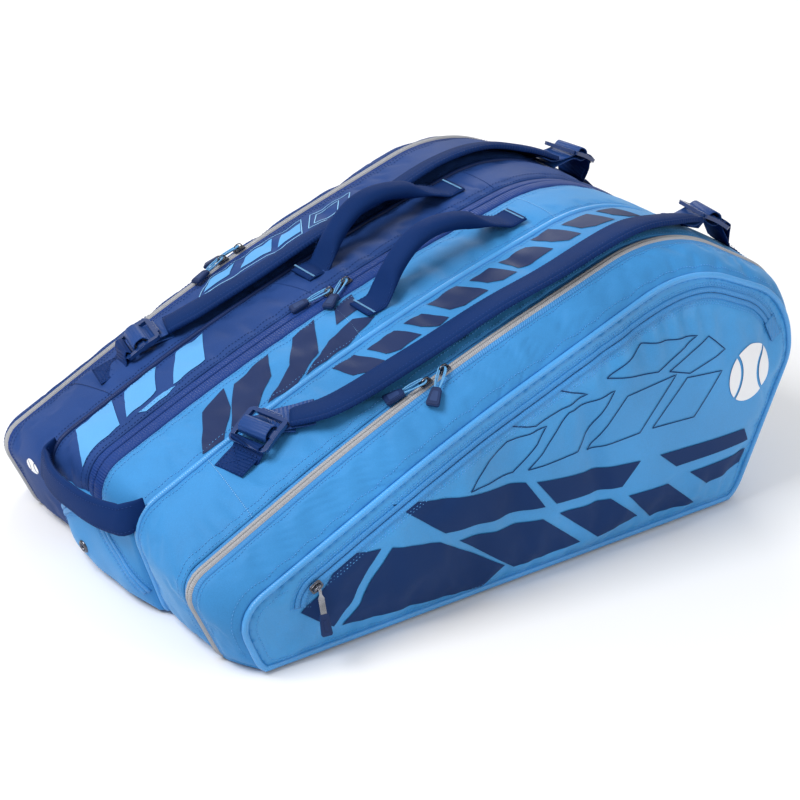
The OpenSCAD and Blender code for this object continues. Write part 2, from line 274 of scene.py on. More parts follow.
def fabric(name, colour, rough, specular, thread=0.0011, sheen=0.0, tint=(0.6, 0.8, 1.0), weave_bump=0.25,
           mottle=0.09, ribs=0.0):
    """Woven cloth: crossing threads, slow colour drift, fine flecks and rubbed patches."""
    mat, nodes, links, shader = new_material(name)
    where = nodes.new("ShaderNodeTexCoord")
    uv = where.outputs["UV"]
    place = where.outputs["Object"]
    waves = []
    for direction in ("X", "Y"):
        wave = nodes.new("ShaderNodeTexWave")
        wave.bands_direction = direction
        wave.wave_profile = "SIN"
        wave.inputs["Scale"].default_value = 0.31416 / thread
        wave.inputs["Distortion"].default_value = 0.35
        wave.inputs["Detail"].default_value = 1.0
        links.new(uv, wave.inputs["Vector"])
        waves.append(wave.outputs["Fac"])
    weave = math_node(nodes, links, "MULTIPLY", waves[0], waves[1])
    drift = noise_node(nodes, links, place, 7.0, 5.0)
    fleck = noise_node(nodes, links, place, 900.0, 2.0)
    tone = math_node(nodes, links, "ADD", math_node(nodes, links, "MULTIPLY", drift, 0.7),
                     math_node(nodes, links, "MULTIPLY", fleck, 0.3))
    dark, light = scaled(colour, 1 - 2.2 * mottle), scaled(colour, 1 + 2.2 * mottle)
    links.new(ramp(nodes, links, tone, [(0.3, dark), (0.7, light)]), shader.inputs["Base Color"])
    worn = noise_node(nodes, links, place, 28.0, 6.0, 0.7)
    set_roughness(nodes, links, shader, worn, rough - 0.08, rough + 0.1)
    height = math_node(nodes, links, "ADD", math_node(nodes, links, "MULTIPLY", weave, 0.6),
                       math_node(nodes, links, "MULTIPLY", fleck, 0.4))
    if ribs:
        rib = nodes.new("ShaderNodeTexWave")
        rib.bands_direction = "X"
        rib.inputs["Scale"].default_value = 0.31416 / ribs
        links.new(uv, rib.inputs["Vector"])
        height = math_node(nodes, links, "ADD", height,
                           math_node(nodes, links, "MULTIPLY", rib.outputs["Fac"], 1.6))
    set_bump(nodes, links, shader, height, weave_bump, 0.0004)
    shader.inputs["Specular IOR Level"].default_value = specular
    shader.inputs["Sheen Weight"].default_value = sheen
    shader.inputs["Sheen Roughness"].default_value = 0.4
    shader.inputs["Sheen Tint"].default_value = (*tint, 1)
    return mat


def solid(name, colour, rough, metal=0.0, grain=350.0, spread=0.12, specular=0.5, coat=0.0):
    """Moulded or cast surface with fine grain, and lighter rubbed spots."""
    mat, nodes, links, shader = new_material(name)
    place = nodes.new("ShaderNodeTexCoord").outputs["Object"]
    fine = noise_node(nodes, links, place, grain, 3.0)
    slow = noise_node(nodes, links, place, 45.0, 5.0, 0.65)
    links.new(ramp(nodes, links, slow, [(0.32, scaled(colour, 1 - spread)),
                                        (0.72, scaled(colour, 1 + spread))]),
              shader.inputs["Base Color"])
    set_roughness(nodes, links, shader, slow, max(0.05, rough - 0.1), rough + 0.12)
    set_bump(nodes, links, shader, fine, 0.12, 0.0003)
    shader.inputs["Metallic"].default_value = metal
    shader.inputs["Specular IOR Level"].default_value = specular
    shader.inputs["Coat Weight"].default_value = coat
    return mat


BLUE = (0.038, 0.225, 0.52)
NAVY = (0.017, 0.052, 0.195)
# Cloths: colour, roughness, specular level and other settings of fabric()
FABRICS = {
    "blue": (BLUE, 0.62, 0.2, dict(sheen=0.22, tint=(0.6, 0.85, 1.0))),
    "blue_panel": ((0.032, 0.258, 0.59), 0.42, 0.5, dict(sheen=0.14, tint=(0.5, 0.9, 1.0))),
    "navy": (NAVY, 0.55, 0.12, {}),
    # base: dark cloth of its own, and kept dark so its sliver under the walls is painted contact shadow
    "base": ((0.006, 0.012, 0.035), 0.65, 0.1, {}),
    "lining": ((0.012, 0.02, 0.045), 0.6, 0.1, dict(thread=0.0006)),
    "light_piping": ((0.06, 0.3, 0.66), 0.3, 0.5, dict(thread=0.0008, sheen=0.08, ribs=0.0025)),
    "dark_piping": ((0.006, 0.022, 0.1), 0.4, 0.2, dict(thread=0.0008, ribs=0.0025)),
    "navy_tape": ((0.01, 0.042, 0.2), 0.45, 0.16, dict(thread=0.0009, ribs=0.0028, weave_bump=0.6)),
    "blue_tape": ((0.04, 0.24, 0.57), 0.45, 0.4,
                  dict(thread=0.0009, sheen=0.1, ribs=0.0028, weave_bump=0.6)),
    "silver_tape": ((0.4, 0.405, 0.43), 0.42, 0.4,
                    dict(thread=0.0008, sheen=0.1, ribs=0.0022, weave_bump=1.0)),
    "webbing": ((0.005, 0.026, 0.12), 0.6, 0.08, dict(thread=0.0014, ribs=0.004, weave_bump=0.9)),
    "strap": ((0.004, 0.023, 0.105), 0.62, 0.06, dict(thread=0.0012, weave_bump=0.5)),
    "mesh": ((0.002, 0.004, 0.016), 0.8, 0.05, dict(thread=0.0024, weave_bump=1.0)),
    "handle": ((0.005, 0.024, 0.108), 0.65, 0.06, dict(thread=0.001, weave_bump=0.4)),
    "blue_thread": ((0.1, 0.36, 0.74), 0.45, 0.4, dict(thread=0.0005, sheen=0.1)),
    "navy_thread": ((0.012, 0.045, 0.19), 0.5, 0.15, dict(thread=0.0005)),
    "pale_thread": ((0.22, 0.5, 0.8), 0.5, 0.4, dict(thread=0.0005, sheen=0.1)),
    "print_navy": ((0.007, 0.03, 0.115), 0.5, 0.1, dict(weave_bump=0.18, mottle=0.05)),
    "print_dusk": ((0.013, 0.027, 0.092), 0.5, 0.14, dict(weave_bump=0.18, mottle=0.08)),
    "print_blue": ((0.1, 0.34, 0.68), 0.5, 0.2, dict(sheen=0.05, weave_bump=0.18, mottle=0.05)),
    "print_white": ((0.8, 0.81, 0.84), 0.4, 0.4, dict(sheen=0.1, weave_bump=0.15, mottle=0.02)),
    # lighter, glossier copy of the webbing: painted highlight on the strap webbing where it wraps the buckle
    # bar
    "webbing_painted_highlight": ((0.01, 0.048, 0.195), 0.45, 0.2, dict(thread=0.0014, ribs=0.004, weave_bump=0.5)),
    "cord": ((0.14, 0.42, 0.76), 0.5, 0.4, dict(thread=0.0006, sheen=0.1, ribs=0.0018, weave_bump=0.8)),
}
# Moulded and metal parts: colour, roughness and other settings of solid()
SOLIDS = {
    "silver_teeth": ((0.44, 0.44, 0.47), 0.32, dict(metal=0.5)),
    "dark_teeth": ((0.006, 0.012, 0.04), 0.35, {}),
    "gunmetal": ((0.13, 0.135, 0.16), 0.22, dict(metal=1.0, grain=220.0, spread=0.35)),
    "buckle": ((0.008, 0.034, 0.14), 0.24, dict(coat=0.5, specular=0.4)),
    "rubber_light": ((0.02, 0.045, 0.14), 0.4, dict(spread=0.15, specular=0.25)),
    "pull_metal": ((0.36, 0.37, 0.41), 0.25, dict(metal=1.0, grain=260.0, spread=0.3)),
    "rubber": ((0.006, 0.022, 0.09), 0.45, dict(spread=0.15, specular=0.25)),
}
M = {name: fabric(name, *values, **settings) for name, (*values, settings) in FABRICS.items()}
M.update({name: solid(name, *values, **settings) for name, (*values, settings) in SOLIDS.items()})


# ---------------------------------------------------------------- meshes
def add(name, verts, faces, mat, body, slot, replaces=(), uvs=None, smooth=True, back=None):
    """Makes a piece from points and faces, ties it to its body and hides the nodes it stands for; slot is not
    used.

    body is a name, or (one body, another, start, end) for a piece meant to bend between two, which is only
    fixed where it is drawn."""
    mesh = bpy.data.meshes.new(name)
    mesh.from_pydata([tuple(v) for v in np.asarray(verts, float)], [],
                     [tuple(int(i) for i in f) for f in faces])
    layer = mesh.uv_layers.new(name="UVMap")
    loops = np.empty(len(mesh.loops), np.int32)
    mesh.loops.foreach_get("vertex_index", loops)
    if uvs is None:
        x, y, z = np.asarray(verts, float).T
        uvs = np.stack([x + y, z + y], 1)
    layer.data.foreach_set("uv", np.asarray(uvs, float)[loops].astype(np.float32).ravel())
    mesh.materials.append(M[mat])
    if back:
        mesh.materials.append(M[back])
    if smooth:
        mesh.shade_smooth()
    mesh.update()
    obj = bpy.data.objects.new(name, mesh)
    bpy.context.scene.collection.objects.link(obj)
    if isinstance(body, str):
        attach(obj, body)
    else:
        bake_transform(obj)
    if replaces:
        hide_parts(*replaces)
    return obj


def bevel(obj, width, segments=2, angle=35):
    mod = obj.modifiers.new("Bevel", "BEVEL")
    mod.width = width
    mod.segments = segments
    mod.limit_method = "ANGLE"
    mod.angle_limit = math.radians(angle)
    mod.harden_normals = True
    return obj


def thicken(obj, t, lined=False):
    """Gives a sheet its thickness, inwards, with the second material on its back."""
    mod = obj.modifiers.new("Solidify", "SOLIDIFY")
    mod.thickness = t
    mod.offset = -1.0
    if lined:
        mod.material_offset = 1
    return obj


def grid_faces(n, m, loop=False, flip=False):
    """Quads of an n by m grid; loop closes it across m."""
    i, j = np.meshgrid(np.arange(n - 1), np.arange(m if loop else m - 1), indexing="ij")
    a, b = i * m + j, i * m + (j + 1) % m
    quads = np.stack([a, b, b + m, a + m], -1).reshape(-1, 4)
    return quads[:, ::-1] if flip else quads


def grid_uv(along, across):
    """Texture coordinates of a grid of points, from the distances along its two directions."""
    return np.stack(np.broadcast_arrays(along[:, None], np.asarray(across)[None]), -1).reshape(-1, 2)


def refine(p, k):
    """Smooth finer grid through a grid of points, k steps to each."""
    for axis in (0, 1):
        p = np.moveaxis(p, axis, 0)
        ends = np.concatenate([2 * p[:1] - p[1:2], p, 2 * p[-1:] - p[-2:-1]])
        n = len(p)
        out = []
        for t in np.arange(k) / k:
            w = (-0.5 * t + t**2 - 0.5 * t**3, 1 - 2.5 * t**2 + 1.5 * t**3,
                 0.5 * t + 2 * t**2 - 1.5 * t**3, -0.5 * t**2 + 0.5 * t**3)
            out.append(sum(wk * ends[i:i + n - 1] for i, wk in enumerate(w)))
        fine = np.stack(out, 1).reshape(-1, *p.shape[1:])
        p = np.moveaxis(np.concatenate([fine, p[-1:]]), 0, axis)
    return p


def settle(verts, faces, pinned, shrink, pressure, cap, frames=18):
    """Cloth simulation of a sheet held along its seams, with its moves capped."""
    mesh = bpy.data.meshes.new("cloth")
    mesh.from_pydata([tuple(v) for v in verts], [], [tuple(int(i) for i in f) for f in faces])
    obj = bpy.data.objects.new("cloth", mesh)
    bpy.context.scene.collection.objects.link(obj)
    group = obj.vertex_groups.new(name="held")
    group.add([int(i) for i in np.flatnonzero(pinned)], 1.0, "REPLACE")
    cloth = obj.modifiers.new("Cloth", "CLOTH")
    s = cloth.settings
    s.quality = 6
    s.mass = 0.2
    s.tension_stiffness = s.compression_stiffness = 25
    s.shear_stiffness = 8
    s.bending_stiffness = 0.35
    s.vertex_group_mass = "held"
    s.shrink_min = s.shrink_max = shrink
    s.use_pressure = True
    s.uniform_pressure_force = pressure
    s.effector_weights.gravity = 0
    cloth.point_cache.frame_start = 1
    cloth.point_cache.frame_end = frames
    scene = bpy.context.scene
    for f in range(1, frames + 1):
        scene.frame_set(f)
    shape = obj.evaluated_get(bpy.context.evaluated_depsgraph_get()).data
    moved = np.array([v.co for v in shape.vertices])
    scene.frame_set(1)
    bpy.data.objects.remove(obj)
    step = moved - verts
    far = np.linalg.norm(step, axis=1, keepdims=True)
    return verts + step * np.minimum(1, cap / np.maximum(far, 1e-9))


def ripple(p, scale, seed):
    """Smooth noise from -1 to 1 at points, by summed sines in turned directions."""
    gen = np.random.default_rng(seed)
    total = np.zeros(p.shape[:-1])
    for _ in range(7):
        d = unit(gen.normal(size=3)) * (2 * math.pi / scale) * gen.uniform(0.6, 1.5)
        total += np.sin(p @ d + gen.uniform(0, 6.28))
    return total / 4.0


class Patch:
    """A finished fabric surface that seams, prints and trims are laid on."""

    def __init__(self, obj):
        self.tree = BVHTree.FromObject(obj, bpy.context.evaluated_depsgraph_get())

    def lay(self, points, outward, lift=0.0003, reach=0.03):
        """Points moved on to the surface along outward, and its normals there."""
        outward = np.broadcast_to(unit(outward), np.shape(points))
        laid, normals = [], []
        for p, n in zip(points, outward):
            hit, normal, _, _ = self.tree.ray_cast(Vector(p + n * reach), Vector(-n), 2.5 * reach)
            if hit is None:
                hit, normal = Vector(p), Vector(n)
            if normal.dot(Vector(n)) < 0:
                normal = -normal
            laid.append(np.array(hit) + np.array(normal) * lift)
            normals.append(np.array(normal))
        return np.array(laid), np.array(normals)


def band(name, side, y0, y1, count, body, replaces, puff, wave, seed):
    """Fabric band over the arch between two seams, puffed and puckered between them."""
    look = LOOK[side]
    ys = np.linspace(y0, y1, count)
    base = [arch(y) for y in ys]
    p = np.stack([b[0] for b in base], 1)
    n = np.stack([b[1] for b in base], 1)
    p[..., 1] *= side
    t = np.linspace(-1, 1, count)
    edge = 1 - np.abs(t) ** 3
    foot = np.minimum(1, np.minimum(np.arange(len(p)), np.arange(len(p))[::-1]) / 4.0)
    lift = puff * edge[None, :] * foot[:, None]
    lift = lift + wave * (edge * 0.9 + 0.1)[None, :] * foot[:, None] * ripple(p, 0.075, seed)
    near_seam = np.exp(-(1 - np.abs(t)) * (y1 - y0) / 2 / 0.012) * (np.abs(t) < 0.999)
    lift = lift + 0.0009 * near_seam[None, :] * foot[:, None] * ripple(p * [1, 0.25, 1], 0.03, seed + 1)
    p = p + n * lift[..., None]
    rows, cols = p.shape[:2]
    pinned = np.zeros((rows, cols), bool)
    pinned[:, [0, -1]] = True
    pinned[[0, -1], :] = True
    faces = grid_faces(rows, cols, flip=side == FAR)
    flat = settle(p.reshape(-1, 3), faces, pinned.ravel(), -0.007, 0.8, 0.0025)
    fine = refine(flat.reshape(rows, cols, 3), 3)
    uv = grid_uv(run_length(fine[:, cols]), np.linspace(y0, y1, fine.shape[1]))
    obj = add(name, fine.reshape(-1, 3), grid_faces(*fine.shape[:2], flip=side == FAR), look["mat"], body,
              look["slot"], replaces, uv, back="lining")
    thicken(obj, WALL, lined=True)
    return Patch(obj)


def tube(points, sides, ups, section):
    """Vertices and faces of a closed section swept along a path; section is (side, up) pairs."""
    section = np.asarray(section, float)
    if section.ndim == 2:
        section = np.repeat(section[None], len(points), 0)
    verts = points[:, None] + sides[:, None] * section[..., :1] + ups[:, None] * section[..., 1:]
    n, m = verts.shape[:2]
    faces = [tuple(f) for f in grid_faces(n, m, loop=True)]
    faces += [tuple(range(m))[::-1], tuple(range((n - 1) * m, n * m))]
    return verts.reshape(-1, 3), faces, grid_uv(run_length(points), run_length(section[0]))


def frames_along(points, normals):
    """Unit directions along a path, to its side, and up from the surface."""
    forward = unit(np.gradient(points, axis=0))
    side = unit(np.cross(normals, forward))
    return forward, side, unit(np.cross(forward, side))


def ring(r, count=10):
    a = np.arange(count) * 2 * math.pi / count
    return np.stack([r * np.cos(a), r * np.sin(a)], 1)


def ribbon_section(w, t, steps):
    """Flat closed section, w wide and t thick, with rounded edges."""
    a = np.linspace(-math.pi / 2, math.pi / 2, steps + 1)
    x = (w - t) / 2
    right = np.stack([x + t / 2 * np.cos(a), t / 2 * np.sin(a)], 1)
    left = np.stack([-x - t / 2 * np.cos(a), -t / 2 * np.sin(a)], 1)
    return np.concatenate([right, left])


def repeat_shape(template, template_faces, places, forward, side, up):
    """Copies of a small shape at many places, as one mesh."""
    t = np.asarray(template, float)
    verts = (places[:, None] + forward[:, None] * t[None, :, :1] + side[:, None] * t[None, :, 1:2]
             + up[:, None] * t[None, :, 2:])
    faces = [tuple(i + k * len(t) for i in f) for k in range(len(places)) for f in template_faces]
    return verts.reshape(-1, 3), faces


def joined(parts):
    """Several sets of points and faces as one."""
    verts, faces, start = [], [], 0
    for v, f in parts:
        verts.append(np.asarray(v, float))
        faces += [tuple(int(i) + start for i in face) for face in f]
        start += len(v)
    return np.concatenate(verts), faces


STITCH_FACES = [(0, 1, 2), (0, 2, 3), (0, 3, 4), (0, 4, 1), (5, 2, 1), (5, 3, 2), (5, 4, 3), (5, 1, 4)]


def stitch_shape(length, r):
    return [(-length / 2, 0, -r / 2), (0, -r, 0), (0, 0, r), (0, r, 0), (0, 0, -r), (length / 2, 0, -r / 2)]


class Thread:
    """Gathers rows of stitches that share a body and a thread, and makes them as one piece.

    A key is the piece's name, material, body and slot."""

    def __init__(self):
        self.rows = {}

    def row(self, key, points, normals, pitch=STITCH_PITCH, length=STITCH_LENGTH, r=STITCH_R):
        p, n = resample(points, pitch, normals)
        row = repeat_shape(stitch_shape(length, r), STITCH_FACES, p, *frames_along(p, n))
        self.rows.setdefault(key, []).append(row)

    def finish(self):
        for (name, mat, body, slot), rows in self.rows.items():
            add(name, *joined(rows), mat, body, slot)


thread = Thread()


# ---------------------------------------------------------------- fabric of the three compartments
MID_TAPE, TAPE = 0.0145, 0.009
patches = {}
for side in (NEAR, FAR):
    who = SIDE_NAME[side]
    for part, word, span, count, body, node, puff, wave, seed in (
            ("mid", "middle", (MID_TAPE + 0.0005, SEAM_Y - 0.002), 11,
             "core", f"mid_{who}_band", 0.0026, 0.0006, 11),
            ("inner", "inner", (SEAM_Y + 0.002, ZIP_Y - TAPE - 0.0004), 13,
             "core", f"{who}_inner_band", 0.0032, 0.0009, 21),
            ("outer", "outer", (ZIP_Y + TAPE + 0.0004, PANEL_Y - 0.002), 8,
             f"{who}_cover", f"{who}_outer_band", 0.0030, 0.0007, 31)):
        patches[who, part] = band(f"{who}_{word}_top", side, *span, count, body, (node,),
                                  puff, wave, seed + side)


# ---------------------------------------------------------------- pocket panels
def dome_y(share):
    """How far out the domed panel stands at a share of the way to its edge."""
    return PANEL_Y + BULGE * (1 - share**4)


def panel_outline(off):
    """Outline of the side panel over the top, as (x, z), moved outwards."""
    p, n = arch(PANEL_Y)
    p = p + n * off
    return p[:, [0, 2]]


POCKET_CENTRE = PANEL_MIDDLE * (1 - POCKET_SHARE) + zip_centre(PANEL_Y)[0] * POCKET_SHARE
POCKET_RADIUS = (zip_centre(PANEL_Y)[1] - PIPING_R) * POCKET_SHARE


def pocket_line(count, share=POCKET_SHARE, x0=-0.300, x1=0.318):
    """Line of the pocket zip in (x, z): the outline drawn in towards the middle of the panel."""
    p = PANEL_MIDDLE + (panel_outline(-PIPING_R) - PANEL_MIDDLE) * share
    # The zip draws out towards the piping near its end
    out = np.clip((p[:, 0] - 0.11) / 0.12, 0, 1) * (p[:, 1] > 0.15)
    out = (out * out * (3 - 2 * out))[:, None]
    p = PANEL_MIDDLE + (p - PANEL_MIDDLE) * (1 + (POCKET_END_SHARE / POCKET_SHARE - 1) * out)
    top = int(np.argmax(p[:, 1]))
    left = int(np.argmin(p[:top, 0]))
    right = top + int(np.argmax(p[top:, 0]))
    p = p[left:right + 1]
    keep = (p[:, 0] >= x0) & ((p[:, 0] <= x1) | (p[:, 1] > 0.205))
    return evenly(p[keep], count)


def dome_share(p, outline):
    """How far each (x, z) lies from the middle of the panel towards its outline, from 0 to 1."""
    q = p - PANEL_MIDDLE
    edge = outline - PANEL_MIDDLE
    angle = np.arctan2(edge[:, 1], edge[:, 0])
    order = np.argsort(angle)
    r = np.interp(np.arctan2(q[:, 1], q[:, 0]), angle[order], np.linalg.norm(edge, axis=1)[order],
                  period=2 * math.pi)
    return np.clip(np.linalg.norm(q, axis=1) / r, 0, 1)


def closed_outline(off, spacing):
    """Outline of the side panel with its straight foot."""
    p = panel_outline(off)
    base = int(np.linalg.norm(p[-1] - p[0]) / spacing)
    t = np.linspace(0, 1, base + 1)[1:-1, None]
    return np.concatenate([p, p[-1] * (1 - t) + p[0] * t])


def triangulated(points, boundary):
    """Triangles of the points inside a closed boundary, whose points come first."""
    edges = [(i, (i + 1) % boundary) for i in range(boundary)]
    verts, _, faces, _, _, _ = delaunay_2d_cdt([Vector(p) for p in points], edges, [], 1, 1e-7)
    return np.array([v[:] for v in verts]), faces


def inside(points, outline):
    """Which points lie in a closed outline."""
    x, y = points[:, 0], points[:, 1]
    found = np.zeros(len(points), bool)
    for a, b in zip(outline, np.roll(outline, -1, 0)):
        crosses = (a[1] > y) != (b[1] > y)
        span = b[1] - a[1] if b[1] != a[1] else 1e-12
        found ^= crosses & (x < (b[0] - a[0]) * (y - a[1]) / span + a[0])
    return found


def pocket_panel(side):
    """Bulging panel with the pocket zip sunk along its top, puckered by a cloth simulation."""
    who = SIDE_NAME[side]
    outline = closed_outline(-0.0012, 0.009)
    spacing = 0.0088
    gx, gz = np.meshgrid(np.arange(-0.37, 0.38, spacing), np.arange(0.0, 0.32, spacing * 0.87))
    gx[1::2] += spacing / 2
    grid = np.stack([gx.ravel(), gz.ravel()], 1)
    grid = grid[inside(grid, PANEL_MIDDLE + (outline - PANEL_MIDDLE) * 0.975)]
    lips = [pocket_line(110, POCKET_SHARE + d) for d in (0.016, -0.016)]
    line = np.concatenate(lips)
    gap = np.min(np.linalg.norm(grid[:, None] - line[None], axis=2), axis=1)
    flat, faces = triangulated(np.concatenate([outline, line, grid[gap > 0.006]]), len(outline))
    share = dome_share(flat, outline)
    y = dome_y(share)
    to_line = np.min(np.linalg.norm(flat[:, None] - line[None], axis=2), axis=1)
    to_edge = np.min(np.linalg.norm(flat[:, None] - outline[None], axis=2), axis=1)
    y = y - 0.0022 * np.exp(-(to_line / 0.006) ** 2)
    rough = ripple(np.stack([flat[:, 0], flat[:, 1], flat[:, 1]], 1), 0.09, 41 + side)
    y = y + 0.0008 * rough * np.minimum(1, to_edge / 0.03)
    head = np.clip((flat[:, 0] - 0.02) / 0.1, 0, 1) * np.clip((0.30 - flat[:, 0]) / 0.08, 0, 1)
    pucker = np.sin(flat[:, 0] * 2 * math.pi / 0.034 + 2.0 * np.sin(flat[:, 0] * 31) + flat[:, 1] * 30)
    y = y + 0.0030 * head * np.exp(-(to_line - 0.020) ** 2 / 0.019**2) * pucker * (share < POCKET_SHARE)
    verts = np.stack([flat[:, 0], side * y, flat[:, 1]], 1)
    faces = [f[::side * NEAR] for f in faces]
    pinned = (to_edge < 1e-4) | (to_line < 1e-4)
    verts = settle(verts, faces, pinned, -0.02, 1.6, 0.006)
    obj = add(f"{who}_pocket_front", verts, faces, LOOK[side]["panel"], f"{who}_cover",
              LOOK[side]["slot"], (f"{who}_pocket_panel",), verts[:, [0, 2]], back="lining")
    sub = obj.modifiers.new("Subdivision", "SUBSURF")
    sub.levels = sub.render_levels = 1
    thicken(obj, 0.0022, lined=True)
    return Patch(obj)


for side in (NEAR, FAR):
    patches[SIDE_NAME[side], "panel"] = pocket_panel(side)


# ---------------------------------------------------------------- piping and zips
def seam_cord(side):
    """Piping along the seam between two compartments, on a flange."""
    cord_mat = LOOK[side]["cord"]
    p, n = arch(SEAM_Y)
    p, n = resample(p * [1, side, 1], 0.004, n)
    up = unit(n + [0, side * 0.12, 0])
    _, across, up = frames_along(p + up * 0.0004, up)
    a = np.linspace(-0.25 * math.pi, 1.25 * math.pi, 11)
    cord = np.stack([PIPING_R * np.cos(a), PIPING_R * np.sin(a) * 0.95], 1)
    flange = np.array([(-0.0075, -0.0018), (-0.0075, -0.0026), (0.0075, -0.0026), (0.0075, -0.0018)])
    verts, faces, uv = tube(p, across, up, np.concatenate([cord, flange]))
    add(f"{SIDE_NAME[side]}_seam_cord", verts, faces, cord_mat, "core", cord_mat,
        (f"{SIDE_NAME[side]}_piping",), uv)


def panel_piping(side):
    """Piping that runs right round a side panel."""
    who = SIDE_NAME[side]
    line = closed_outline(0.0003, 0.006)
    line = resample(np.stack([line[:, 0], np.full(len(line), side * PANEL_Y), line[:, 1]], 1)[
        list(range(len(line))) + [0]], 0.005)[:-1]
    middle = np.array([PANEL_MIDDLE[0], side * PANEL_Y, PANEL_MIDDLE[1]])
    forward = unit(np.roll(line, -1, 0) - np.roll(line, 1, 0))
    outward = np.cross(forward, np.array([0.0, 1.0, 0.0]))
    outward = outward * np.sign(np.sum(outward * (line - middle), axis=1, keepdims=True))
    r = ring(PIPING_R, 10)
    verts = line[:, None] + outward[:, None] * r[None, :, :1] + np.array([0, side, 0.0]) * r[None, :, 1:]
    n, m = verts.shape[:2]
    i, j = np.meshgrid(np.arange(n), np.arange(m), indexing="ij")
    faces = np.stack([i * m + j, i * m + (j + 1) % m, (i + 1) % n * m + (j + 1) % m, (i + 1) % n * m + j], -1)
    cord = LOOK[side]["cord"]
    add(f"{who}_panel_cord", verts.reshape(-1, 3), faces.reshape(-1, 4), cord, f"{who}_cover", cord,
        (f"{who}_panel_piping",))


def coil(name, side, y, mat, body, slot, lift, pitch=0.0024, width=0.0034, dense=0.0014):
    """Row of zip teeth along the top at y."""
    p, n = arch(y)
    p, n = resample(p * [1, side, 1], pitch, n)
    forward, across, up = frames_along(p + n * lift, n)
    a, b, c = dense / 2, width / 2, 0.00045
    shape = [(-a, -b, -c), (a, -b, -c), (a, b, -c), (-a, b, -c), (-a * .6, -b * .8, c), (a * .6, -b * .8, c),
             (a * .6, b * .8, c), (-a * .6, b * .8, c)]
    quads = [(0, 3, 2, 1), (4, 5, 6, 7), (0, 1, 5, 4), (1, 2, 6, 5), (2, 3, 7, 6), (3, 0, 4, 7)]
    verts, faces = repeat_shape(shape, quads, p, forward, across, up)
    add(name, verts, faces, mat, body, slot)


def zip_half(side, inward):
    """Tape, silver coil bed and teeth on one side of a main zip.

    inward is -1 on the core and 1 on the cover."""
    who = SIDE_NAME[side]
    part = "inner" if inward < 0 else "outer"
    body = "core" if inward < 0 else f"{who}_cover"
    # (distance from the zip line, height): coil bed first, then the tape down to its seam
    section = [(0.0002, 0.0004), (0.0003, 0.0013), (0.002, 0.0018), (0.0038, 0.0013), (0.0041, -0.0002),
               (0.0052, -0.0004), (0.0075, -0.0003), (TAPE + 0.0008, -0.0012)]
    columns = []
    for d, lift in section:
        p, n = arch(ZIP_Y + inward * d)
        columns.append((p + n * lift) * [1, side, 1])
    grid = np.stack(columns, 1)
    uv = grid_uv(run_length(grid[:, 2]), [d for d, _ in section])
    obj = add(f"{who}_zip_tape_{part}", grid.reshape(-1, 3),
              grid_faces(*grid.shape[:2], flip=side * inward > 0), "silver_tape", body, "silver_zip",
              (f"{who}_zip_{part}",), uv, back="lining")
    obj.data.materials.append(M[LOOK[side]["tape"]])
    wide = len(section) - 1
    for poly in obj.data.polygons:
        poly.material_index = 2 if poly.index % wide >= 4 else 0
    mod = thicken(obj, 0.0012).modifiers["Solidify"]
    mod.use_rim = True
    coil(f"{who}_zip_teeth_{part}", side, ZIP_Y + inward * 0.0019, "silver_teeth", body, "silver_zip", 0.0019)


def strip_along(name, lines, lifts, mat, body, slot, replaces, back=None, thick=0.0012):
    """Tape between several (signed) distances from the middle plane."""
    columns = []
    for y, lift in zip(lines, lifts):
        p, n = arch(abs(y))
        columns.append((p + n * lift) * [1, 1 if y >= 0 else -1, 1])
    grid = np.stack(columns, 1)
    uv = grid_uv(run_length(grid[:, 0]), lines)
    obj = add(name, grid.reshape(-1, 3), grid_faces(*grid.shape[:2], flip=True), mat, body, slot, replaces,
              uv, back=back)
    thicken(obj, thick)
    return obj


for side in (NEAR, FAR):
    who = SIDE_NAME[side]
    seam_cord(side)
    panel_piping(side)
    for inward in (-1, 1):
        zip_half(side, inward)

# The wide tape over the middle compartment: two welts that meet over a sunk coil
for side in (NEAR, FAR):
    welt = [(0.0012, -0.0008), (0.0013, 0.0006), (0.0026, 0.0015), (0.006, 0.0013), (0.0105, 0.001),
            (0.0128, 0.0004), (MID_TAPE + 0.0012, -0.0014)]
    strip_along(f"{SIDE_NAME[side]}_middle_welt", [side * a for a, _ in welt], [b for _, b in welt],
                "navy_tape", "core", "navy_tape", ("mid_zip_tape",) if side == FAR else (), back="lining")
strip_along("middle_coil_bed", [-0.003, 0, 0.003], [-0.0012, -0.0004, -0.0012], "dark_teeth", "core",
            "dark_coil", ("mid_zip_coil",), thick=0.0008)
coil("middle_zip_teeth", FAR, 0.0, "dark_teeth", "core", "dark_coil", 0.0002, pitch=0.0022, width=0.003)


# ---------------------------------------------------------------- rows of stitches
def stitch_key(side, part):
    who, look = SIDE_NAME[side], LOOK[side]
    return f"{who}_{part}_stitches", look["yarn"], "core" if part == "core" else f"{who}_cover", look["slot"]


def seam_row(patch, side, y, key):
    """Row of stitches along a band at y."""
    p, n = arch(y)
    p, n = resample(p * [1, side, 1], 0.0025, n)
    thread.row(key, *patch.lay(p[8:-8], n[8:-8], SEW_LIFT))


for side in (NEAR, FAR):
    who = SIDE_NAME[side]
    core_key, cover_key = stitch_key(side, "core"), stitch_key(side, "cover")
    for patch, y, key in (("mid", MID_TAPE + 0.0035, core_key), ("mid", MID_TAPE + 0.0105, core_key),
                          ("mid", SEAM_Y - 0.009, core_key), ("inner", SEAM_Y + 0.009, core_key),
                          ("inner", ZIP_Y - TAPE - 0.0035, core_key),
                          ("inner", ZIP_Y - TAPE - 0.010, core_key),
                          ("outer", ZIP_Y + TAPE + 0.0035, cover_key), ("outer", PANEL_Y - 0.008, cover_key)):
        seam_row(patches[who, patch], side, y, key)


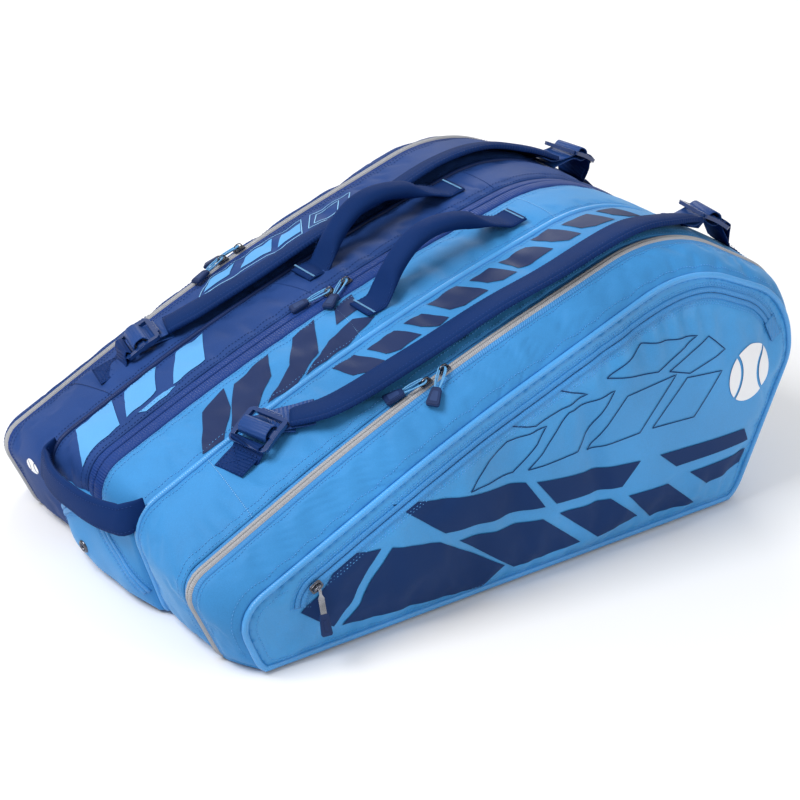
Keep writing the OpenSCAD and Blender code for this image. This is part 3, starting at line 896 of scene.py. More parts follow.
# ---------------------------------------------------------------- pocket zips on the panels
def on_panel(side, xz, lift=0.0004):
    xz = np.asarray(xz, float)
    p = np.stack([xz[:, 0], np.full(len(xz), side * (PANEL_Y + BULGE)), xz[:, 1]], 1)
    return patches[SIDE_NAME[side], "panel"].lay(p, np.array([0.0, side, 0.0]), lift)


def fine_line(line, spacing=0.002):
    """Points close together along a line, so that stitches follow the fabric."""
    return evenly(line, int(run_length(line)[-1] / spacing) + 2)


def pocket_trim(side):
    """Two folded lips that meet over the hidden coil, and the rows that sew them down."""
    who = SIDE_NAME[side]
    line = pocket_line(150)
    forward = unit(np.gradient(line, axis=0))
    normal = np.stack([-forward[:, 1], forward[:, 0]], 1)
    mat = LOOK[side]["tape"]
    for k, (word, sign) in enumerate((("upper", 1), ("lower", -1))):
        p, n = on_panel(side, line + normal * sign * 0.0031, 0.0006)
        _, across, up = frames_along(p, n)
        fold = [(0.0029, 0.0), (0.0028, 0.0011), (0.001, 0.0016), (-0.0014, 0.0014), (-0.0029, 0.0006),
                (-0.003, -0.0012), (0.0029, -0.0012)]
        if sign * side > 0:
            fold = [(-a, b) for a, b in fold][::-1]
        verts, faces, uv = tube(p, across, up, fold)
        add(f"{who}_pocket_lip_{word}", verts, faces, mat, f"{who}_cover", "pocket_zip",
            (f"{who}_pocket_zip",) if k == 0 else (), uv)
        for d in (0.0082, 0.0105):
            row = fine_line(line + normal * sign * d)
            thread.row(stitch_key(side, "cover"), *on_panel(side, row, SEW_LIFT))
    p, n = on_panel(side, line, 0.0004)
    _, across, up = frames_along(p, n)
    verts, faces, uv = tube(p, across, up, ribbon_section(0.0012, 0.0007, 2))
    add(f"{who}_pocket_coil", verts, faces, "dark_teeth", f"{who}_cover", "dark_coil", (), uv)
    edge = PANEL_MIDDLE + (closed_outline(-0.009, 0.008) - PANEL_MIDDLE) * 0.995
    clear = np.min(np.linalg.norm(edge[:, None] - line[None], axis=2), axis=1) > 0.014
    start = int(np.argmax(clear & ~np.roll(clear, 1)))
    edge, clear = np.roll(edge, -start, axis=0), np.roll(clear, -start)
    thread.row(stitch_key(side, "cover"), *on_panel(side, fine_line(edge[clear]), SEW_LIFT))
    # Fabric tab over the head end of the zip
    tip = line[-1] + forward[-1] * 0.002
    corners_at = ((-0.012, -0.008), (0.014, -0.008), (0.014, 0.008), (-0.012, 0.008))
    square = [tip + forward[-1] * a + normal[-1] * b for a, b in corners_at]
    decal(f"{who}_zip_end_tab", square, mat, f"{who}_cover", LOOK[side]["slot"],
          lambda q: on_panel(side, q, 0.0024), thick=0.0012)


# ---------------------------------------------------------------- prints
def dense_loop(points, spacing):
    points = np.asarray(points, float)
    out = []
    for a, b in zip(points, np.roll(points, -1, 0)):
        k = max(1, int(np.linalg.norm(b - a) / spacing))
        out.append(a + (b - a) * (np.arange(k) / k)[:, None])
    return np.concatenate(out)


def decal(name, outline, mat, body, slot, place, spacing=0.0042, thick=0.0):
    """Flat shape in two directions, filled with triangles and laid on the fabric."""
    edge = dense_loop(outline, spacing)
    lo, hi = edge.min(0), edge.max(0)
    gx, gy = np.meshgrid(np.arange(lo[0], hi[0], spacing), np.arange(lo[1], hi[1], spacing))
    grid = np.stack([gx.ravel(), gy.ravel()], 1)
    if len(grid):
        gap = np.min(np.linalg.norm(grid[:, None] - edge[None], axis=2), axis=1)
        grid = grid[inside(grid, edge) & (gap > spacing * 0.45)]
    flat, faces = triangulated(np.concatenate([edge, grid]), len(edge))
    p, n = place(flat)
    a, b, c = (p[faces[0][k]] for k in range(3))
    if np.cross(b - a, c - a) @ n[faces[0][0]] < 0:
        faces = [f[::-1] for f in faces]
    obj = add(name, p, faces, mat, body, slot, (), flat)
    if thick:
        thicken(obj, thick)
    return obj


def on_top(side, which, flat, lift=PRINT_LIFT):
    """Points given as (x, distance from the middle plane), laid on a band of the top."""
    pairs = [arch_at(abs(y), x) for x, y in flat]
    p = np.array([a for a, _ in pairs]) * [1, side, 1]
    return patches[SIDE_NAME[side], which].lay(p, np.array([b for _, b in pairs]), lift)


def mm(points):
    return np.asarray(points, float) * MM


def print_shapes(name, shapes, mat, body, slot, place):
    for k, shape in enumerate(shapes):
        decal(f"{name}_{k + 1}", mm(shape), mat, body, slot, place)


def ink_line(name, loops, width, mat, body, slot, place):
    """Thin printed outlines."""
    parts = []
    for loop in loops:
        line = dense_loop(mm(loop), 0.004)
        p, n = place(np.concatenate([line, line[:1]]))
        _, across, _ = frames_along(p, n)
        strip = np.stack([p - across * width / 2, p + across * width / 2], 1)
        parts.append((strip.reshape(-1, 3), grid_faces(len(p), 2)))
    add(name, *joined(parts), mat, body, slot)


PANEL_SHARDS = [
    [(-288, 60), (-236, 108), (-196, 104), (-252, 34)],
    [(-184, 102), (-128, 92), (-40, 34), (-62, 12), (-240, 30)],
    [(-178, 144), (-20, 126), (4, 92), (-122, 100)],
    [(-8, 124), (132, 108), (108, 84), (18, 92)],
    [(-104, 86), (2, 78), (62, 28), (-26, 26)],
    [(24, 78), (96, 72), (142, 34), (84, 28)],
    [(118, 70), (176, 66), (228, 22), (162, 26)],
    [(160, 106), (292, 96), (302, 78), (186, 84)],
    [(208, 70), (303, 66), (299, 48), (240, 44)]]
PANEL_OUTLINES = [
    [(-92, 138), (-44, 178), (6, 182), (-34, 140)],
    [(-18, 140), (34, 190), (92, 200), (44, 144)],
    [(60, 140), (108, 190), (176, 196), (128, 142)],
    [(84, 214), (132, 240), (206, 232), (150, 206)],
    [(146, 142), (192, 188), (244, 182), (206, 138)],
    [(166, 202), (224, 226), (250, 204), (196, 192)],
    [(-40, 192), (26, 214), (58, 204), (-8, 186)]]


def ball_icon(x, z, r):
    """Plain ball: a disc in three pieces parted by two curved lines."""
    arc = lambda cx, cr, a0, a1: [(cx + cr * math.cos(math.radians(a)), z + cr * math.sin(math.radians(a)))
                                  for a in np.linspace(a0, a1, 13)]
    right = arc(x, r, -45, 45) + arc(x + 1.55 * r, 1.1 * r, 139, 221)
    left = arc(x, r, 135, 225) + arc(x - 1.55 * r, 1.1 * r, -41, 41)
    middle = (arc(x, r, 53, 127) + arc(x - 1.55 * r, 1.22 * r, 39.5, -39.5) + arc(x, r, 233, 307)
              + arc(x + 1.55 * r, 1.22 * r, 219.5, 140.5))
    return [right, left, middle]


def slanted(x, y, w, h, lean, cut=0.0):
    """Leaning block at x, y; cut trims one corner."""
    return [(x, y), (x + w, y), (x + w + lean, y + h), (x + lean + cut, y + h),
            (x + lean * 0.6, y + h * (1 - cut / w))]


near_panel = lambda q: on_panel(NEAR, q, 0.0008)
far_panel = lambda q: on_panel(FAR, q, 0.0008)
for side in (NEAR, FAR):
    pocket_trim(side)
print_shapes("near_panel_shard", PANEL_SHARDS, "print_navy", "near_cover", "blue_fabric", near_panel)
ink_line("near_panel_outlines", PANEL_OUTLINES, 0.0012, "print_navy", "near_cover", "blue_fabric", near_panel)
print_shapes("near_panel_ball", ball_icon(290, 166, 33), "print_white", "near_cover", "blue_fabric",
             near_panel)
ink_line("far_panel_outlines", PANEL_OUTLINES + PANEL_SHARDS, 0.0012, "dark_piping", "far_cover",
         "navy_fabric", far_panel)

near_inner = lambda q: on_top(NEAR, "inner", q)
near_mid = lambda q: on_top(NEAR, "mid", q)
far_mid = lambda q: on_top(FAR, "mid", q)
far_inner = lambda q: on_top(FAR, "inner", q)
BLOCKS = [(-150, 26), (-112, 34), (-66, 22), (-32, 38), (18, 26), (56, 36), (104, 24), (140, 34), (186, 24)]
print_shapes("near_block",
             [slanted(x, 108 if k % 3 else 101, w, 30 if k % 3 else 38, 14, 8)
              for k, (x, w) in enumerate(BLOCKS)], "print_dusk", "core", "blue_fabric", near_inner)
print_shapes("near_middle_shard", [
    [(-296, 84), (-268, 40), (-236, 30), (-246, 60), (-272, 86)],
    [(-262, 84), (-226, 34), (-180, 26), (-196, 58), (-232, 84)],
    [(-218, 84), (-176, 62), (-150, 26), (-120, 22), (-146, 70), (-184, 86)],
    [(-172, 84), (-130, 66), (-96, 60), (-78, 74), (-120, 84)],
    [(-112, 54), (-96, 24), (-72, 22), (-80, 50)]], "print_dusk", "core", "blue_fabric", near_mid)
print_shapes("far_middle_shard", [
    [(-372, 26), (-352, 78), (-306, 84), (-326, 30)],
    [(-316, 32), (-292, 82), (-252, 84), (-276, 40)],
    [(-262, 28), (-228, 80), (-196, 78), (-222, 30)],
    [(-300, 20), (-262, 24), (-274, 30), (-306, 26)]], "print_blue", "core", "navy_fabric", far_mid)
print_shapes("far_inner_shard", [
    [(-104, 146), (-84, 168), (-50, 166), (-66, 144)],
    [(-58, 142), (-40, 162), (-16, 160), (-28, 140)],
    [(-150, 148), (-130, 170), (-98, 170), (-116, 150)]], "print_blue", "core", "navy_fabric", far_inner)
ink_line("far_inner_outlines", [
    [(-160, 144), (-126, 176), (-10, 168), (-30, 134)], [(-20, 136), (0, 164), (52, 160), (30, 132)],
    [(-10, 140), (4, 158), (34, 156), (20, 138)]], 0.0011, "pale_thread", "core", "navy_fabric", far_inner)
print_shapes("far_end_ball", ball_icon(0, 0, 10), "print_white", "core", "navy_fabric",
             lambda q: patches["far", "inner"].lay(
                 np.stack([np.full(len(q), -0.376), q[:, 0] + 0.128, q[:, 1] + 0.088], 1),
                 unit(np.array([-1.0, 0.0, -0.35])), 0.0004))


# Joins across the bands near the handle end
for side, x, mat in ((NEAR, -0.296, "pale_thread"), (FAR, -0.300, "dark_piping")):
    across_band = np.array([(x - 0.06 * (y - 0.094), y) for y in np.linspace(0.096, 0.183, 26)])
    p, n = on_top(side, "inner", across_band, SEW_LIFT)
    thread.row((f"{SIDE_NAME[side]}_join", mat, "core", LOOK[side]["slot"]), p, n, **CLOSE_STITCHES)


# ---------------------------------------------------------------- frames on the bag
def shift(x, y, z):
    m = np.eye(4)
    m[:3, 3] = (x, y, z)
    return m


def turned(axis, degrees):
    m = np.eye(4)
    c, s = math.cos(math.radians(degrees)), math.sin(math.radians(degrees))
    i, j = {"x": (1, 2), "y": (2, 0), "z": (0, 1)}[axis]
    m[i, i] = m[j, j] = c
    m[i, j], m[j, i] = -s, s
    return m


def put(m, points):
    points = np.asarray(points, float)
    return points @ m[:3, :3].T + m[:3, 3]


def top_frame(x, y, lift, tilt, turn):
    """Frame over the top at x, y in millimetres, x forwards along the strap and z away from the bag."""
    z = arch_at(abs(y) * MM, x * MM)[0][2]
    return shift(x * MM, y * MM, z + lift * MM) @ turned("z", turn) @ turned("y", -tilt)


def on_zip(x, y, off):
    """Frame over the long arc of the top at y, with x along the zip."""
    centre, radius = zip_centre(y)
    angle = math.degrees(math.asin((x - centre[0]) / radius))
    return shift(centre[0], 0, centre[1]) @ turned("y", angle) @ shift(0, y, radius + off)


def add_placed(m, name, verts, faces, mat, body, slot, replaces=(), uvs=None, smooth=True):
    """A piece drawn in a frame; a mirrored frame turns its faces over."""
    if np.linalg.det(m[:3, :3]) < 0:
        faces = [tuple(f)[::-1] for f in faces]
    return add(name, put(m, verts), faces, mat, body, slot, replaces, uvs, smooth)


def moulded(m, name, shape, mat, body, slot, edge, steps=2, replaces=()):
    """A flat-sided piece drawn in a frame, with bevelled edges."""
    bevel(add_placed(m, name, *shape, mat, body, slot, replaces, smooth=False), edge, steps)


def prism(outline, z0, z1):
    """Outline pulled up from z0 to z1."""
    n = len(outline)
    verts = [(x, y, z0) for x, y in outline] + [(x, y, z1) for x, y in outline]
    faces = [tuple(range(n))[::-1], tuple(range(n, 2 * n))]
    return verts, faces + [(i, (i + 1) % n, n + (i + 1) % n, n + i) for i in range(n)]


def smooth_line(points, count=60):
    """Smooth line through a few points, by cubic pieces."""
    p = np.asarray(points, float)
    p = np.concatenate([2 * p[:1] - p[1:2], p, 2 * p[-1:] - p[-2:-1]])
    at = np.linspace(0, len(p) - 3 - 1e-9, count)
    i = at.astype(int)
    t = (at - i)[:, None]
    a, b, c, d = p[i], p[i + 1], p[i + 2], p[i + 3]
    return 0.5 * (2 * b + (c - a) * t + (2 * a - 5 * b + 4 * c - d) * t ** 2
                  + (3 * b - a - 3 * c + d) * t ** 3)


def oval_section(w, t, power=2.6, count=20):
    """Rounded section between a flat ribbon and a round bar."""
    a = np.arange(count) * 2 * math.pi / count + math.pi / count
    c, s = np.cos(a), np.sin(a)
    k = 2 / power
    return np.stack([w / 2 * np.sign(c) * np.abs(c) ** k, t / 2 * np.sign(s) * np.abs(s) ** k], 1)


# ---------------------------------------------------------------- shoulder straps
PAD_W, PAD_T, WEB_W, WEB_T = 0.0445, 0.0092, 0.038, 0.0017
# Points of the straps: x, y, height over the bag, and how far the near edge is rolled up
STRAPS = {
    NEAR: [(-220, -128, 12, 4), (-190, -146, 11, 7), (-150, -156, 10.5, 10), (-90, -162, 10.5, 12),
           (-20, -167, 10.5, 13), (50, -170, 10.5, 14), (120, -171, 10, 14), (180, -171, 9.5, 13),
           (232, -166, 9.5, 12), (278, -153, 15.5, 12)],
    FAR: [(-214, 128, 12.5, 3), (-185, 117, 12, 9), (-140, 109, 12, 16), (-80, 105, 12.5, 21),
          (-10, 104, 13, 23), (60, 104, 13, 23), (130, 105, 13, 23), (190, 106, 12, 20),
          (245, 107, 9.5, 15), (296, 109, 14, 12)]}
ANCHORS = {(NEAR, "front"): (-274, -122, 4, 25, 14), (NEAR, "rear"): (352, -136, 8, -42, -8),
           (FAR, "front"): (-274, 138, 4, 25, -14), (FAR, "rear"): (352, 124, 8, -42, 8)}
BUCKLES = {(NEAR, "front"): (-251, -120, 14, 32, 14), (NEAR, "rear"): (305, -150, 26, -32, -8),
           (FAR, "front"): (-243, 134, 14, 32, -14), (FAR, "rear"): (332, 111, 31, -29, 8)}


def strap_line(side):
    """Middle line of a strap with a little slack in it, and its roll at each point."""
    points = []
    for x, y, height, roll in STRAPS[side]:
        z = arch_at(abs(y) * MM, x * MM)[0][2]
        points.append((x * MM, y * MM, z + height * MM, roll))
    line = smooth_line(points, 120)
    line, roll = line[:, :3], line[:, 3]
    d = run_length(line)
    line = resample(line, 0.005)
    along = np.linspace(0, 1, len(line))
    roll = np.interp(along, d / d[-1], roll)
    line[:, 2] += 0.0012 * np.sin(along * 19 + side) * np.sin(along * math.pi)
    line[:, 1] += 0.0022 * np.sin(along * 9.0 + 1.3 * side) * np.sin(along * math.pi)
    return line, np.radians(roll)


def shoulder_strap(side):
    """Padded cushion with a mesh underside, bound along both edges; gives its middle line."""
    who = SIDE_NAME[side]
    line, roll = strap_line(side)
    along = np.linspace(0, 1, len(line))
    up0 = np.stack([np.zeros_like(roll), np.sin(roll), np.cos(roll)], 1)
    _, across, up = frames_along(line, up0)
    ends = np.minimum(along, 1 - along) * 0.52
    wide = 0.0385 + (PAD_W - 0.0385) * np.clip(ends / 0.035, 0, 1) ** 0.7
    thick = 0.0042 + (PAD_T - 0.0042) * np.clip(ends / 0.02, 0, 1) ** 0.6
    sections = np.stack([oval_section(w, t, 3.4, 24) for w, t in zip(wide, thick)])
    # The pad bows a little across its width and its top is fuller than its mesh underside
    bow = 0.0022 * (1 - (sections[..., 0] / (PAD_W / 2)) ** 2)
    sections[..., 1] = sections[..., 1] * np.where(sections[..., 1] > 0, 1.1, 0.8) + bow
    verts, faces, uv = tube(line, across, up, sections)
    obj = add(f"{who}_strap_cushion", verts, faces, "strap", "core", "strap_fabric", (f"{who}_strap_pad",),
              uv)
    obj.data.materials.append(M["mesh"])
    m = sections.shape[1]
    for poly in obj.data.polygons:
        k = poly.index % m
        if poly.index < (len(line) - 1) * m and m // 2 + 1 <= k < m - 2:
            poly.material_index = 1
    # Binding round both long edges, and the row that holds it
    for word, sign in (("inner", 1), ("outer", -1)):
        edge = line + across * (sign * (wide[:, None] / 2 - 0.0004)) + up * 0.0004
        verts, faces, uv = tube(edge, across, up, oval_section(0.0036, 0.0058, 2.2, 10))
        add(f"{who}_strap_binding_{word}", verts, faces, "webbing", "core", "webbing", (), uv)
        out, lift = sign * (wide / 2 - 0.0052), thick / 2 * 1.02 + 0.0005
        row = line + across * out[:, None] + up * lift[:, None]
        thread.row((f"{who}_strap_stitches", "navy_thread", "core", "strap_fabric"), row[3:-3], up[3:-3])
    return line


def webbing(name, points, spacing, side_way, mat, replaces=()):
    """Flat webbing along a line, whose width runs along side_way."""
    points = resample(points, spacing)
    ups = unit(np.cross(unit(np.gradient(points, axis=0)), unit(side_way)))
    line, ups = resample(points, 0.003, ups)
    _, across, up = frames_along(line, ups)
    verts, faces, uv = tube(line, across, up, ribbon_section(WEB_W, WEB_T, 3))
    add(name, verts, faces, mat, "core", "webbing", replaces, uv)


def ladder_lock(side, end):
    """Buckle with two windows and a raised middle bar."""
    who = f"{SIDE_NAME[side]}_{end}"
    m = top_frame(*BUCKLES[side, end])
    xs = [-22, -20.4, -17.2, -5.2, -3.6, 3.6, 5.2, 17.2, 20.4, 22]
    ys = [-26, -24, -20.4, 20.4, 24, 26]
    verts = []
    for x in xs:
        for y in ys:
            corner = max(0.0, (abs(x) - 19) / 3) * max(0.0, (abs(y) - 22) / 4)
            bend = 1.6 * (1 - (x / 22) ** 2) + (1.2 if abs(x) < 4 and abs(y) < 21 else 0)
            verts.append((x * (1 - 0.09 * corner), y * (1 - 0.075 * corner), bend))
    faces = []
    for i in range(len(xs) - 1):
        for j in range(len(ys) - 1):
            if ys[j] == -20.4 and xs[i] in (-17.2, 5.2):
                continue
            faces.append((i * 6 + j, (i + 1) * 6 + j, (i + 1) * 6 + j + 1, i * 6 + j + 1))
    obj = add_placed(m @ shift(0, 0, 0.0046), f"{who}_ladder_lock", np.array(verts) * MM, faces, "buckle",
                     "core", "buckle_plastic", (f"{who}_buckle",), smooth=False)
    thicken(obj, 0.0044)
    bevel(obj, 0.0011, 3, 40)
    # Grip lip on the outer edge
    lip = prism(mm([(20, -15), (24.4, -12), (24.4, 12), (20, 15)]), 0.0012, 0.0042)
    moulded(m, f"{who}_lock_lip", lip, "buckle", "core", "buckle_plastic", 0.0008)


def strap_hardware(side, end, line):
    """Webbing at one end of a strap: from the bag to the buckle, and from the pad through the buckle."""
    who = f"{SIDE_NAME[side]}_{end}"
    a = top_frame(*ANCHORS[side, end])
    b = top_frame(*BUCKLES[side, end])
    out = 1 if end == "front" else -1      # towards the pad, along x
    bar = put(b, [(-out * 19 * MM, 0, 0.0025)])[0]
    # Webbing sewn to the bag, up round the outer bar of the buckle, and back under itself
    start = put(a, [(-out * 21 * MM, 0, 0.0012)])[0]
    mid = put(a, [(out * 10 * MM, 0, 0.0014)])[0]
    over = bar + b[:3, 2] * 0.0052 - b[:3, 0] * out * 0.001
    turn = bar + b[:3, 0] * out * 0.0058
    under = bar - b[:3, 2] * 0.0052 - b[:3, 0] * out * 0.001
    back = put(a, [(out * 4 * MM, 0, -0.0012)])[0]
    points = smooth_line([start, put(a, [(-out * 6 * MM, 0, 0.0012)])[0], mid, over, turn, under, back], 90)
    webbing(f"{who}_anchor_webbing", points, 0.0025, np.cross(a[:3, 2], a[:3, 0] * out), "webbing",
            (f"{who}_anchor",))
    # Box and cross stitches on the sewn end
    box = [(-20, -16), (6, -16), (6, 16), (-20, 16), (-20, -16), (6, 16)], [(-20, 16), (6, -16)]
    for run in box:
        p = put(a, [(x * out * MM, y * MM, 0.0026) for x, y in run])
        for q0, q1 in zip(p[:-1], p[1:]):
            row = q0 + (q1 - q0) * np.linspace(0.03, 0.97, 12)[:, None]
            thread.row(("anchor_stitches", "navy_thread", "core", "webbing"), row,
                       np.repeat(a[:3, 2][None], 12, 0))
    # Webbing of the strap: out of the pad's end, over the middle bar and back as a tail
    tip, inner = (line[1], line[5]) if end == "front" else (line[-2], line[-6])
    centre = put(b, [(0, 0, 0.006)])[0]
    z = b[:3, 2]
    x = b[:3, 0] * out
    points = [inner, tip, centre + x * 0.0125 - z * 0.0055, centre + x * 0.0062 + z * 0.0045,
              centre + z * 0.0058, centre - x * 0.0064 + z * 0.0045, centre - x * 0.0098 - z * 0.0025,
              centre - x * 0.003 - z * 0.0085, centre + x * 0.012 - z * 0.0100, tip - UP * 0.0075]
    # the strap webbing's lighter material is painted highlight, not a different webbing
    webbing(f"{who}_strap_webbing", smooth_line(points, 140), 0.0022, np.cross(z, -x), "webbing_painted_highlight")


for side in (NEAR, FAR):
    line = shoulder_strap(side)
    for end in ("front", "rear"):
        ladder_lock(side, end)
        strap_hardware(side, end, line)


# ---------------------------------------------------------------- carry handles and grab handle
HANDLE_FOOT, HANDLE_Y = ((-0.062, 0.266), (0.108, 0.313)), 0.055
GRIP = [(-0.063, 0.266), (-0.055, 0.279), (-0.044, 0.297), (-0.030, 0.314), (-0.012, 0.327), (0.012, 0.3335),
        (0.040, 0.3325), (0.066, 0.3265), (0.086, 0.3215), (0.101, 0.3175)]


FOOT_X = ((-0.084, -0.077, -0.070), (0.112, 0.117, 0.122))     # where each sewn foot lies on the bag
TACKS = ((-0.078, 0.0185), (0.118, 0.0165))                    # x and half width of each foot's bar tacks


def carry_handle(side):
    """Foot sewn to the bag, leg, padded grip, leg and foot, as one sleeve."""
    who = SIDE_NAME[side]
    y = side * HANDLE_Y
    (x0, z0), (x1, z1) = HANDLE_FOOT
    patch = patches[who, "mid"]

    def on_bag(x):
        """Point on the cloth at x, on the positive side."""
        p, n = arch_at(HANDLE_Y, x)
        return patch.lay([p * [1, side, 1]], n * [1, side, 1], 0.0026)[0][0] * [1, side, 1]

    points = [on_bag(x) for x in FOOT_X[0]]
    points += [np.array([x, HANDLE_Y, z]) for x, z in GRIP]
    points += [on_bag(x) for x in FOOT_X[1]]
    line = resample(smooth_line(points, 200), 0.0035) * [1, side, 1]
    line[:, 1] = y
    _, across, up = frames_along(line, np.array([[-0.25, 0, 1.0]]))
    d = run_length(line)
    grip = np.clip((np.minimum(d - 0.034, d[-1] - 0.042 - d)) / 0.03, 0, 1)
    grip = grip * grip * (3 - 2 * grip)
    sections = np.stack([oval_section(0.036 - 0.0075 * g, 0.0042 + 0.0140 * g, 3.2 - 1.1 * g, 20)
                         for g in grip])
    verts, faces, uv = tube(line, across, up, sections)
    chord = np.array([x1 - x0, 0, z1 - z0])
    rise = unit(np.array([-chord[2], 0, chord[0]]))
    base = np.array([x0, y, z0])
    bend = ("core", f"{who}_handle", tuple(base + rise * 0.006), tuple(base + rise * 0.032))
    nodes = (f"{who}_carry_handle",) + (("handle_patches",) if side == FAR else ())
    obj = add(f"{who}_handle_grip", verts, faces, "handle", bend, "handle_fabric", nodes, uv)
    # Closing seam under the grip, edge rows on the legs
    padded = grip > 0.5
    half_thick = sections[:, :, 1].max(1)[:, None]
    seam = line - up * (half_thick + 0.0002)
    rows = [(seam[padded], -up[padded])]
    legs = grip < 0.35
    for sign in (-1, 1):
        edge = line + across * sign * 0.0155 + up * (half_thick + 0.0003)
        half = len(line) // 2
        rows += [(edge[:half][legs[:half]], up[:half][legs[:half]]),
                 (edge[half:][legs[half:]], up[half:][legs[half:]])]
    for p, n in rows:
        thread.row((f"{who}_handle_stitches", "navy_thread", bend, "handle_fabric"), p, n)
    # Bar tacks and reinforcing seams across the feet
    for x, spread in TACKS:
        n = arch_at(HANDLE_Y, x)[1]
        p = on_bag(x)
        ys = np.linspace(-spread, spread, 30)
        row = (p + n * 0.0028)[None] * [1, side, 1] + np.array([0, 1, 0]) * ys[:, None]
        for offset in (-0.0007, 0.0007):
            thread.row((f"{who}_bar_tacks", "pale_thread", "core", "handle_fabric"), row + [offset, 0, 0],
                       np.repeat(n[None], len(row), 0), **BAR_TACK)
    for x, far_end in ((-0.094, -0.030), (0.147, 0.012)):
        ys = np.linspace(0.018, SEAM_Y - 0.006, 24)
        pairs = [arch_at(v, x + far_end * (v - 0.018) / 0.07 * (0.35 if x < 0 else 0.2)) for v in ys]
        p = np.array([q[0] for q in pairs]) * [1, side, 1]
        n = np.array([q[1] for q in pairs])
        p, n = patch.lay(p, n, 0.0004)
        thread.row((f"{who}_foot_seams", LOOK[side]["seam"], "core", LOOK[side]["slot"]), p, n,
                   **CLOSE_STITCHES)


for side in (NEAR, FAR):
    carry_handle(side)


def grab_handle():
    """Flat webbing in a sleeve at the racket-handle end, both ends caught in the seams."""
    points = [(-0.366, -0.0895, 0.1265), (-0.375, -0.0885, 0.1245), (-0.3838, -0.0858, 0.1225)]
    for y in np.linspace(-0.08, 0.074, 17):
        s = 1 - (abs(y) / 0.084) ** 2.4
        points.append((-0.388 - 0.0150 * s, y, 0.119 - 0.0055 * s - 0.006 * max(0, y / 0.08)))
    points += [(-0.3895, 0.0835, 0.1115), (-0.3845, 0.0885, 0.1125), (-0.3775, 0.0910, 0.115),
               (-0.367, 0.0935, 0.119)]
    line = resample(smooth_line(points, 160), 0.0035)
    forward = unit(np.gradient(line, axis=0))
    share = np.linspace(0, 1, len(line))
    lean = np.radians(14 - 20 * np.sin(math.pi * share))
    wide_way = np.stack([np.sin(lean) * 0.9, np.zeros_like(lean), np.cos(lean)], 1)
    wide_way = unit(wide_way - forward * np.sum(wide_way * forward, axis=1, keepdims=True))
    outward = unit(np.cross(wide_way, forward))
    padded = np.clip(np.minimum(share, 1 - share) / 0.14, 0, 1)
    sections = np.stack([oval_section(0.031 + 0.003 * g, 0.003 + 0.0058 * g, 3.4 - 0.6 * g, 20)
                         for g in padded])
    verts, faces, uv = tube(line, wide_way, outward, sections)
    bend = ("core", "grab", (-0.389, 0, 0.115), (-0.3995, 0, 0.108))
    obj = add("grab_handle_sleeve", verts, faces, "handle", bend, "handle_fabric", ("grab_handle",), uv)
    half_thick = sections[:, :, 1].max(1)[:, None]
    for sign in (-1, 1):
        for up_sign in (1, -1):
            edge = line + wide_way * sign * 0.0125 + outward * up_sign * (half_thick * 0.93 + 0.0003)
            thread.row(("grab_handle_stitches", "navy_thread", bend, "handle_fabric"), edge[4:-4],
                       (outward * up_sign)[4:-4], r=0.0004)


grab_handle()


# ---------------------------------------------------------------- sliders and pulls
def slider(m, name, body):
    """Slider: a waisted plate with raised edges, and an arched bridge."""
    outline = [(-7, -3.0), (-6.2, -3.9), (-3, -4.6), (4.4, -4.6), (6.2, -4.0), (7, -2.6), (7, 2.6),
               (6.2, 4.0), (4.4, 4.6), (-3, 4.6), (-6.2, 3.9), (-7, 3.0)]
    raised = prism(mm(outline) * [0.72, 0.66], 0.0015, 0.0022)
    plate = joined([prism(mm(outline), 0.0, 0.0016), raised])
    moulded(m, f"{name}_plate", plate, "gunmetal", body, "zip_metal", 0.0004, replaces=(name,))
    path = smooth_line([(-5.2, 0, 1.4), (-4.7, 0, 4.2), (-3.4, 0, 6.4), (0, 0, 7.2), (3.4, 0, 6.4),
                        (4.7, 0, 4.2), (5.2, 0, 1.4)], 26) * MM
    forward = unit(np.gradient(path, axis=0))
    side_way = np.repeat(np.array([[0, 1.0, 0]]), len(path), 0)
    v, f, _ = tube(path, side_way, np.cross(forward, side_way), oval_section(0.0022, 0.0011, 3, 8))
    add_placed(m, f"{name}_bridge", v, f, "gunmetal", body, "zip_metal")


def cord_pull(m, name, body, turn, dip, roll):
    """Two turns of cord through the bridge, and a moulded tab with a rim."""
    local = m @ shift(0, 0, 0.0046) @ turned("x", roll) @ turned("z", turn) @ turned("y", -dip)
    front = -26.0
    for k, (spread, lift) in enumerate(((4.1, 0.55), (2.6, -0.45))):
        half = [(front - 5, 1.6, 0), (front + 1, 2.2, lift), (front + 9, spread * 0.9, lift * 1.4),
                (-7, spread, lift), (-2.2, spread * 0.93, lift * 0.6), (0.4, spread * 0.5, 0)]
        path = half + [(1.1, 0, 0)] + [(x, -y, z) for x, y, z in half[::-1]]
        line = smooth_line(path, 70) * MM
        v, f, uv = tube(line, *frames_along(line, UP)[1:], ring(0.00078, 8))
        add_placed(local, f"{name}_cord_{k + 1}", v, f, "cord", body, "pull_rubber",
                   (name,) if k == 0 else (), uv)
    outline = [(-46, -5.4), (-44.6, -6.8), (-42, -7), (-27.4, -5.5), (-25, -4.2), (-24.4, -2.4), (-24.4, 2.4),
               (-25, 4.2), (-27.4, 5.5), (-42, 7), (-44.6, 6.8), (-46, 5.4)]
    middle = np.array([-35.5, 0])
    inset = lambda k: mm(middle + (np.array(outline) - middle) * k)
    tab = joined([prism(mm(outline), -0.0016, 0.0016), prism(inset(0.9), 0.0015, 0.0023)])
    moulded(local, f"{name}_tab", tab, "rubber", body, "pull_rubber", 0.0007, 3)
    inlay = prism(inset(0.56), 0.0022, 0.0026)
    moulded(local, f"{name}_tab_inlay", inlay, "rubber_light", body, "pull_rubber", 0.0002)


